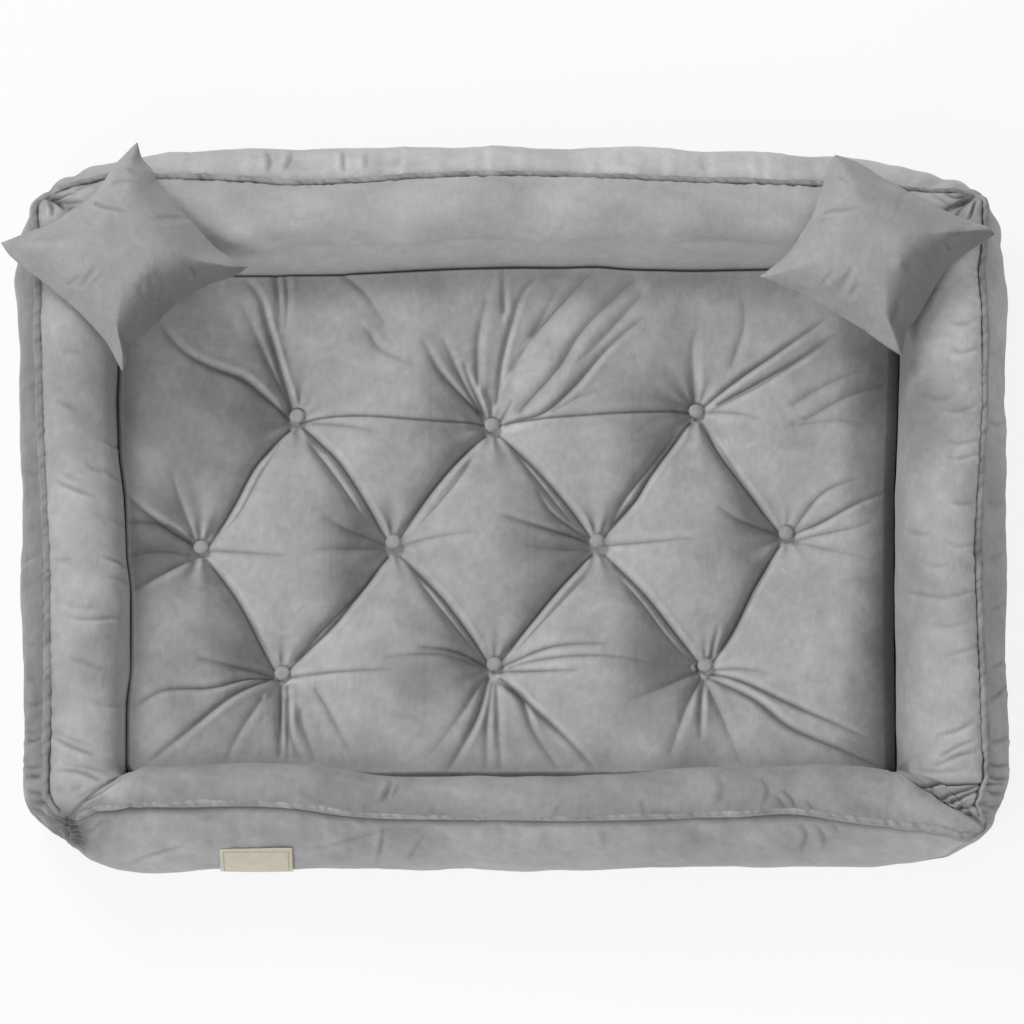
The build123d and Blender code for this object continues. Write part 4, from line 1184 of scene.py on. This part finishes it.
# How far the edges and the corners droop; a corner in the plan also reaches out, in pixels
DROOP, TIP_DROOP, TIP_OUT = 19.0, 3.0, 1.2
PILLOWS = {
    # the four sides and the folds (depth, half width, line) in pixels; tone is each pillow's painted light
    "left": dict(
        middle_up=198.1, seed=3, tone=0.98, body="pillow_left",
        sides=(
            ((2, 243), (8, 254), (22, 268), (45, 286), (69, 307), (90, 326), (105, 344), (115, 360),
             (122, 371)),
            ((122, 371), (128, 362), (130, 347), (144, 337), (159, 325), (174, 310), (192, 297),
             (210, 286), (228, 280), (240, 274), (247, 267)),
            ((137, 144), (142, 157), (153, 169), (163, 185), (177, 200), (192, 217), (207, 235),
             (220, 250), (234, 259), (247, 267)),
            ((2, 243), (21, 234), (45, 224), (64, 212), (80, 202), (99, 185), (111, 169), (120, 158),
             (137, 144)),
        ),
        folds=(
            (1.5, 2.0, (72, 204), (90, 201), (105, 207), (129, 210)),
            (1.2, 2.4, (105, 186), (120, 181), (134, 180)), (1.0, 2.2, (111, 169), (126, 167), (140, 176)),
            (1.3, 3.2, (78, 289), (87, 277), (96, 265)), (0.9, 2.4, (90, 287), (97, 279), (104, 272)),
            (0.7, 2.6, (64, 290), (72, 282), (80, 276)), (1.5, 2.2, (191, 266), (197, 277), (198, 292)),
            (1.5, 2.2, (219, 254), (227, 265), (222, 280)), (1.2, 2.2, (158, 297), (164, 307), (169, 317)),
            (1.0, 2.0, (146, 314), (150, 326)), (1.2, 2.2, (128, 326), (133, 337), (130, 347)),
            (0.8, 2.0, (172, 290), (178, 300), (184, 302)), (0.8, 3.4, (30, 240), (50, 238), (72, 232)),
        ),
    ),
    "right": dict(
        middle_up=197.3, seed=8, tone=1.07, body="pillow_right",
        sides=(
            ((761, 276), (776, 284), (800, 295), (821, 308), (842, 320), (863, 332), (881, 344), (902, 356)),
            ((902, 356), (905, 343), (908, 330), (918, 319), (932, 298), (944, 277), (962, 259),
             (980, 246), (994, 235)),
            ((836, 156), (860, 162), (884, 176), (908, 188), (935, 202), (956, 214), (974, 222),
             (988, 226), (994, 235)),
            ((761, 276), (776, 263), (791, 246), (801, 229), (812, 210), (820, 190), (824, 175),
             (829, 163), (836, 156)),
        ),
        folds=(
            (1.5, 2.2, (813, 217), (830, 211), (845, 209), (860, 206)),
            (1.0, 2.2, (804, 227), (818, 221), (832, 217)), (1.0, 2.2, (830, 175), (840, 178), (852, 184)),
            (1.3, 3.0, (838, 294), (845, 280), (853, 264)), (0.9, 2.6, (820, 287), (827, 277), (834, 270)),
            (0.8, 2.4, (848, 300), (854, 290), (860, 284)), (1.5, 2.2, (946, 242), (951, 253), (947, 266)),
            (0.8, 2.0, (918, 296), (922, 304), (926, 310)), (1.2, 3.0, (892, 326), (896, 312), (898, 298)),
            (1.3, 3.0, (948, 234), (962, 232), (978, 228)), (1.2, 2.0, (966, 240), (974, 246), (980, 243)),
            (1.0, 2.0, (902, 338), (908, 334), (912, 328)),
        ),
    ),
}
CLOTH = dict(
    quality=8, mass=0.3, tension_stiffness=18, compression_stiffness=18, shear_stiffness=8,
    bending_stiffness=0.6, tension_damping=8, compression_damping=8, air_damping=3, use_pressure=True,
    uniform_pressure_force=6.0,
)


def pillow_blank(side, cells, scale):
    """Two flat square sheets that share their border, for inflating."""
    n = cells + 1
    s = np.linspace(-side / 2, side / 2, n)
    x, y = np.meshgrid(s, s)
    lift = 1.5 * (1 - (2 * x / side) ** 2) * (1 - (2 * y / side) ** 2)
    top = np.stack([x, y, lift], -1).reshape(-1, 3)
    inner = np.arange(n * n).reshape(n, n)[1:-1, 1:-1].ravel()
    low_index = {int(k): len(top) + i for i, k in enumerate(inner)}
    faces = grid_faces(n, n)
    below = [[low_index.get(k, k) for k in face][::-1] for face in faces]
    return np.vstack([top, top[inner] * [1, 1, -1]]) * scale, faces + below


def inflated(name, seed, scale=8.0):
    """The filled pillow, in millimetres, centred, its thickness set."""
    points, faces = pillow_blank(PILLOW_SIDE, PILLOW_CELLS, scale)
    points = points + np.random.default_rng(seed).normal(size=points.shape) * 0.12 * scale
    blank = add_mesh(name + "_blank", points, faces)
    cloth = blank.modifiers.new("Cloth", "CLOTH")
    for setting, value in CLOTH.items():
        setattr(cloth.settings, setting, value)
    cloth.settings.effector_weights.gravity = 0
    cloth.collision_settings.use_collision = False
    cloth.point_cache.frame_start = 1
    cloth.point_cache.frame_end = 40
    scene = bpy.context.scene
    for current in range(1, 31):
        scene.frame_set(current)
    evaluated = blank.evaluated_get(bpy.context.evaluated_depsgraph_get())
    mesh = evaluated.to_mesh()
    result = read_vectors(mesh.vertices, "co") / MM / scale
    evaluated.to_mesh_clear()
    bpy.data.objects.remove(blank, do_unlink=True)
    scene.frame_set(1)
    result -= (result.max(0) + result.min(0)) / 2
    result[:, 2] *= PILLOW_THICK / max(1.0, np.ptp(result[:, 2]))
    plain = points[:, :2] / scale
    plain = plain * (np.ptp(result[:, :2], axis=0) / np.ptp(plain, axis=0))
    result[:, :2] = result[:, :2] * 0.15 + plain * 0.85
    return result, faces


def read_vectors(items, field):
    """A field of three numbers per item, such as the vertices' places."""
    values = np.empty(len(items) * 3)
    items.foreach_get(field, values)
    return values.reshape(-1, 3)


def along_curve(curve, share):
    """The points at these shares of a listed outline's length."""
    curve = rounded(curve, 8)
    run = lengths_along(curve)
    return np.stack([np.interp(share * run[-1], run, curve[:, k]) for k in (0, 1)], -1)


def on_outline(shape, sides, level):
    """Lays a pillow's square plan in the four sides read from the photograph, its edges drooping."""
    low, span = shape[:, :2].min(0), np.ptp(shape[:, :2], axis=0)
    s, t = ((shape[:, :2] - low) / span).T
    below, right, above, left = sides
    c00, c10, c01, c11 = (np.array(side[end]) for side in (below, above) for end in (0, -1))
    blend = between((along_curve(below, s), along_curve(above, s)), t[:, None])
    blend += between((along_curve(left, t), along_curve(right, t)), s[:, None])
    s, t = s[:, None], t[:, None]
    blend -= (1 - s) * (1 - t) * c00 + s * (1 - t) * c10 + (1 - s) * t * c01 + s * t * c11
    tip = (np.abs(2 * s - 1) * np.abs(2 * t - 1)) ** 9
    away = blend - (c00 + c10 + c01 + c11) / 4
    blend += away / (np.linalg.norm(away, axis=1, keepdims=True) + 1) * TIP_OUT * tip
    edge_near = np.maximum(np.abs(2 * s - 1), np.abs(2 * t - 1))
    droop = DROOP * edge_near**3 + TIP_DROOP * tip
    seat = at_height(blend, level)
    ray = seat - EYE
    seat -= ray * droop / ray[:, 2:]
    seat[:, 2] += shape[:, 2]
    return seat


def crease_rim(mesh):
    """Keeps the sewn border between a pillow's two squares crisp when the mesh is subdivided."""
    rim = np.isin(np.arange(len(mesh.vertices)), grid_border(PILLOW_CELLS + 1, PILLOW_CELLS + 1))
    ends = np.empty(len(mesh.edges) * 2, int)
    mesh.edges.foreach_get("vertices", ends)
    layer = mesh.attributes.new("crease_edge", "FLOAT", "EDGE")
    layer.data.foreach_set("value", rim[ends.reshape(-1, 2)].all(1).astype(np.float32))


for side, spec in PILLOWS.items():
    shape, pillow_faces = inflated("pillow_" + side, spec["seed"])
    points = on_outline(shape, spec["sides"], spec["middle_up"])
    obj = add_mesh("pillow_" + side + "_cover", points, pillow_faces)
    crease_rim(obj.data)
    subdivide = obj.modifiers.new("Subdivision", "SUBSURF")
    subdivide.levels = subdivide.render_levels = 2
    graph = bpy.context.evaluated_depsgraph_get()
    fine = bpy.data.meshes.new_from_object(obj.evaluated_get(graph))
    obj.modifiers.clear()
    obj.data = fine
    coords = read_vectors(fine.vertices, "co") / MM
    normal = read_vectors(fine.vertex_normals, "vector")
    if normal[coords[:, 2] > spec["middle_up"] + 20, 2].mean() < 0:
        normal = -normal
    pillow_pixel = px_of(coords)
    push = 0.6 * noise(coords, 40, 61 + len(side))
    fold_shade = np.ones(len(coords))
    for depth, half, *line in spec["folds"]:
        near, d, taper, dip, lip = along_fold(pillow_pixel, line, half, 2.2, 1.3)
        taper = taper * (coords[near, 2] > spec["middle_up"])
        push[near] += depth * taper * (0.6 * lip - dip)
        fold_shade[near] *= 1 + min(0.22, 0.16 * depth) * taper * (0.36 * lip - dip)
    coords = coords + normal * push[:, None]
    fine.vertices.foreach_set("co", (coords * MM).ravel())
    fine.polygons.foreach_set("use_smooth", np.ones(len(fine.polygons), bool))
    fine.materials.clear()
    fine.materials.append(VELVET_PILLOW)
    # Painted shade on the sides that face towards +x and -y, painted light on the others, then painted shade
    # and light beside the folds, each pillow's painted tone and random mottle
    away = normal @ np.array([0.85, -0.5, 0.0])
    pillow_shade_and_mottle = np.clip(1 - 0.42 * smooth(0.12, 0.7, away) + 0.06 * smooth(0.1, 0.6, -away), 0.5, 1.1)
    pillow_shade_and_mottle *= fold_shade * spec["tone"] * (1 + 0.02 * noise(coords, 30, 77) + 0.015 * noise(coords, 9, 78))
    fine.attributes.get("nap").data.foreach_set("value", pillow_shade_and_mottle.astype(np.float32))
    fine.update()
    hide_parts("pillow_cover_" + side, "pillow_filling_" + side)
    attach(obj, spec["body"])


# Label: bare woven satin with a stitched border, on the front wall's outer face
def front_surface(x, z):
    """Outer face of the front wall at this x and height."""
    station = np.argmin(np.where(names == "front", np.abs(origin[:, 0] - x), np.inf))
    part = body[station, SEAM_AT : SEAM_AT + N_OUT]
    order = np.argsort(part[:, 2])
    return np.interp(z, part[order, 2], part[order, 1])


LABEL_ROWS, LABEL_COLUMNS = 30, 38
LABEL_LEFT, LABEL_RIGHT = -295.5, -222.5
LABEL_LOW, LABEL_HIGH = 36.0, 92.0
LABEL_THICK, LABEL_OFF = 0.9, 0.4
label_x = np.linspace(LABEL_LEFT, LABEL_RIGHT, LABEL_COLUMNS)
label_z = np.linspace(LABEL_LOW, LABEL_HIGH, LABEL_ROWS)
face = np.array([[front_surface(x, z) for x in label_x] for z in label_z])
face = face.min(axis=1, keepdims=True) * 0.6 + face * 0.4 - 1.3
lx, lz = np.meshgrid(label_x, label_z)
outside = np.stack([lx, face - LABEL_OFF, lz + 0.5 * np.sin((lx + 260) / 30)], -1)
faces = grid_faces(LABEL_ROWS, LABEL_COLUMNS)
rim, behind = grid_border(LABEL_ROWS, LABEL_COLUMNS), LABEL_ROWS * LABEL_COLUMNS
faces += [[k + behind for k in face_of][::-1] for face_of in faces] + band_faces(rim, rim + behind)
label = add_mesh("label_patch", np.stack([outside, outside + [0, LABEL_THICK, 0]]), faces)
label.data.materials.append(satin())
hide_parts("label")
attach(label, "bed")

# Border stitches
STITCH, STITCH_STEP, STITCH_AROUND = 2.1, 3.0, 6
STITCHED_LEFT, STITCHED_RIGHT = -291.5, -226.5
STITCHED_LOW, STITCHED_HIGH = 39.0, 88.5
STITCH_RINGS = ((0, 0.12), (0.15, 0.3), (0.5, 0.36), (0.85, 0.3), (1, 0.12))


def stitch(x0, z0, x1, z1):
    """The rings of one stitch, thick in the middle and thin where it enters the cloth."""
    a, b = (np.array([x, np.interp(z, label_z, face[:, 0]) - 0.75, z]) for x, z in ((x0, z0), (x1, z1)))
    side = np.cross((b - a) / np.linalg.norm(b - a), [0, 1, 0])
    angle = turn_angles(STITCH_AROUND)
    across = np.outer(np.cos(angle), side) + np.outer(np.sin(angle), [0, 1, 0])
    return [between((a, b), t) + across * r for t, r in STITCH_RINGS]


stitch_points = [
    stitch(x, z, x + STITCH, z)
    for x in np.arange(STITCHED_LEFT + 0.5, STITCHED_RIGHT - 1, STITCH_STEP)
    for z in (STITCHED_HIGH, STITCHED_LOW)
]
stitch_points += [
    stitch(x, z, x, z + STITCH)
    for z in np.arange(STITCHED_LOW, STITCHED_HIGH - 0.5, STITCH_STEP)
    for x in (STITCHED_LEFT, STITCHED_RIGHT)
]
stitch_faces = []
for number in range(len(stitch_points)):
    start = number * len(STITCH_RINGS) * STITCH_AROUND
    stitch_faces += tube_faces(len(STITCH_RINGS), STITCH_AROUND, start, -1)
stitches = add_mesh("label_stitches", stitch_points, stitch_faces)
stitches.data.materials.append(mottled("label_thread", 700, 2, (0.36, 0.31, 0.2), (0.5, 0.44, 0.3), 0.6))
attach(stitches, "bed")

# Carried-over CAD nodes
plastic = mottled("moulded_button_plastic", 120, 3, (0.62, 0.62, 0.6), (0.7, 0.7, 0.68), 0.4)
CARRIED = {"base_panel": anti_slip(), "backing_buttons": plastic, "tufting_twines": twine()}
for node, finish in CARRIED.items():
    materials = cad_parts[node].data.materials
    if not len(materials):
        materials.append(finish)
    for i in range(len(materials)):
        materials[i] = finish

# Floor, light and camera: the floor in metres, and how bright it shows and the sky shines
FLOOR_HALF, FLOOR_BELOW, FLOOR_SEEN = 30, 0.0005, 0.86
SKY_STRENGTH, SENSOR = 0.42, 36
floor_mesh = bpy.data.meshes.new("studio_floor")
floor_corners = [
    (x * FLOOR_HALF, y * FLOOR_HALF, -FLOOR_BELOW) for x, y in ((-1, -1), (1, -1), (1, 1), (-1, 1))
]
floor_mesh.from_pydata(floor_corners, [], [(0, 1, 2, 3)])
floor = bpy.data.objects.new("studio_floor", floor_mesh)
bpy.context.scene.collection.objects.link(floor)
look = Look("floor_white")
look.nodes.clear()
diffuse = look.node("BsdfDiffuse", Color=(0.82, 0.82, 0.82, 1))[0]
glow = look.node("Emission", Color=(1, 1, 1, 1), Strength=1.0)[0]
seen = look.node("LightPath")
direct = look.math("MAXIMUM", seen["Is Camera Ray"], seen["Is Glossy Ray"])
direct = look.math("MAXIMUM", direct, seen["Is Transmission Ray"])
blend = look.nodes.new("ShaderNodeMixShader")
for socket, value in zip(blend.inputs, (look.math("MULTIPLY", direct, FLOOR_SEEN), diffuse, glow)):
    look.put(socket, value)
look.node("OutputMaterial", Surface=blend.outputs[0])
floor_mesh.materials.append(look.material)

world = bpy.data.worlds.new("studio")
bpy.context.scene.world = world
world.use_nodes = True
background = world.node_tree.nodes["Background"]
background.inputs["Color"].default_value = (1, 1, 1, 1)
background.inputs["Strength"].default_value = SKY_STRENGTH


def area_light(name, place, size, energy):
    """A square lamp that looks at the middle of the bed."""
    lamp = bpy.data.lights.new(name, "AREA")
    lamp.shape = "SQUARE"
    lamp.size = size
    lamp.energy = energy
    obj = bpy.data.objects.new(name, lamp)
    obj.location = place
    obj.rotation_euler = (-Vector(place)).to_track_quat("-Z", "Y").to_euler()
    bpy.context.scene.collection.objects.link(obj)


area_light("back_left", (-1.9, 2.2, 3.2), 1.5, 78)
area_light("front_left", (-1.5, -2.4, 3.2), 1.8, 66)

camera_data = bpy.data.cameras.new("camera")
camera_data.sensor_width = SENSOR
camera_data.lens = SENSOR * REACH / (PICTURE * PER_PX)
camera_data.clip_end = 100
camera = bpy.data.objects.new("camera", camera_data)
camera.matrix_world = Matrix([*zip(RIGHT, UP, BACK, EYE * MM), (0, 0, 0, 1)])
bpy.context.scene.collection.objects.link(camera)
bpy.context.scene.camera = camera
bpy.context.scene.view_settings.view_transform = "Standard"
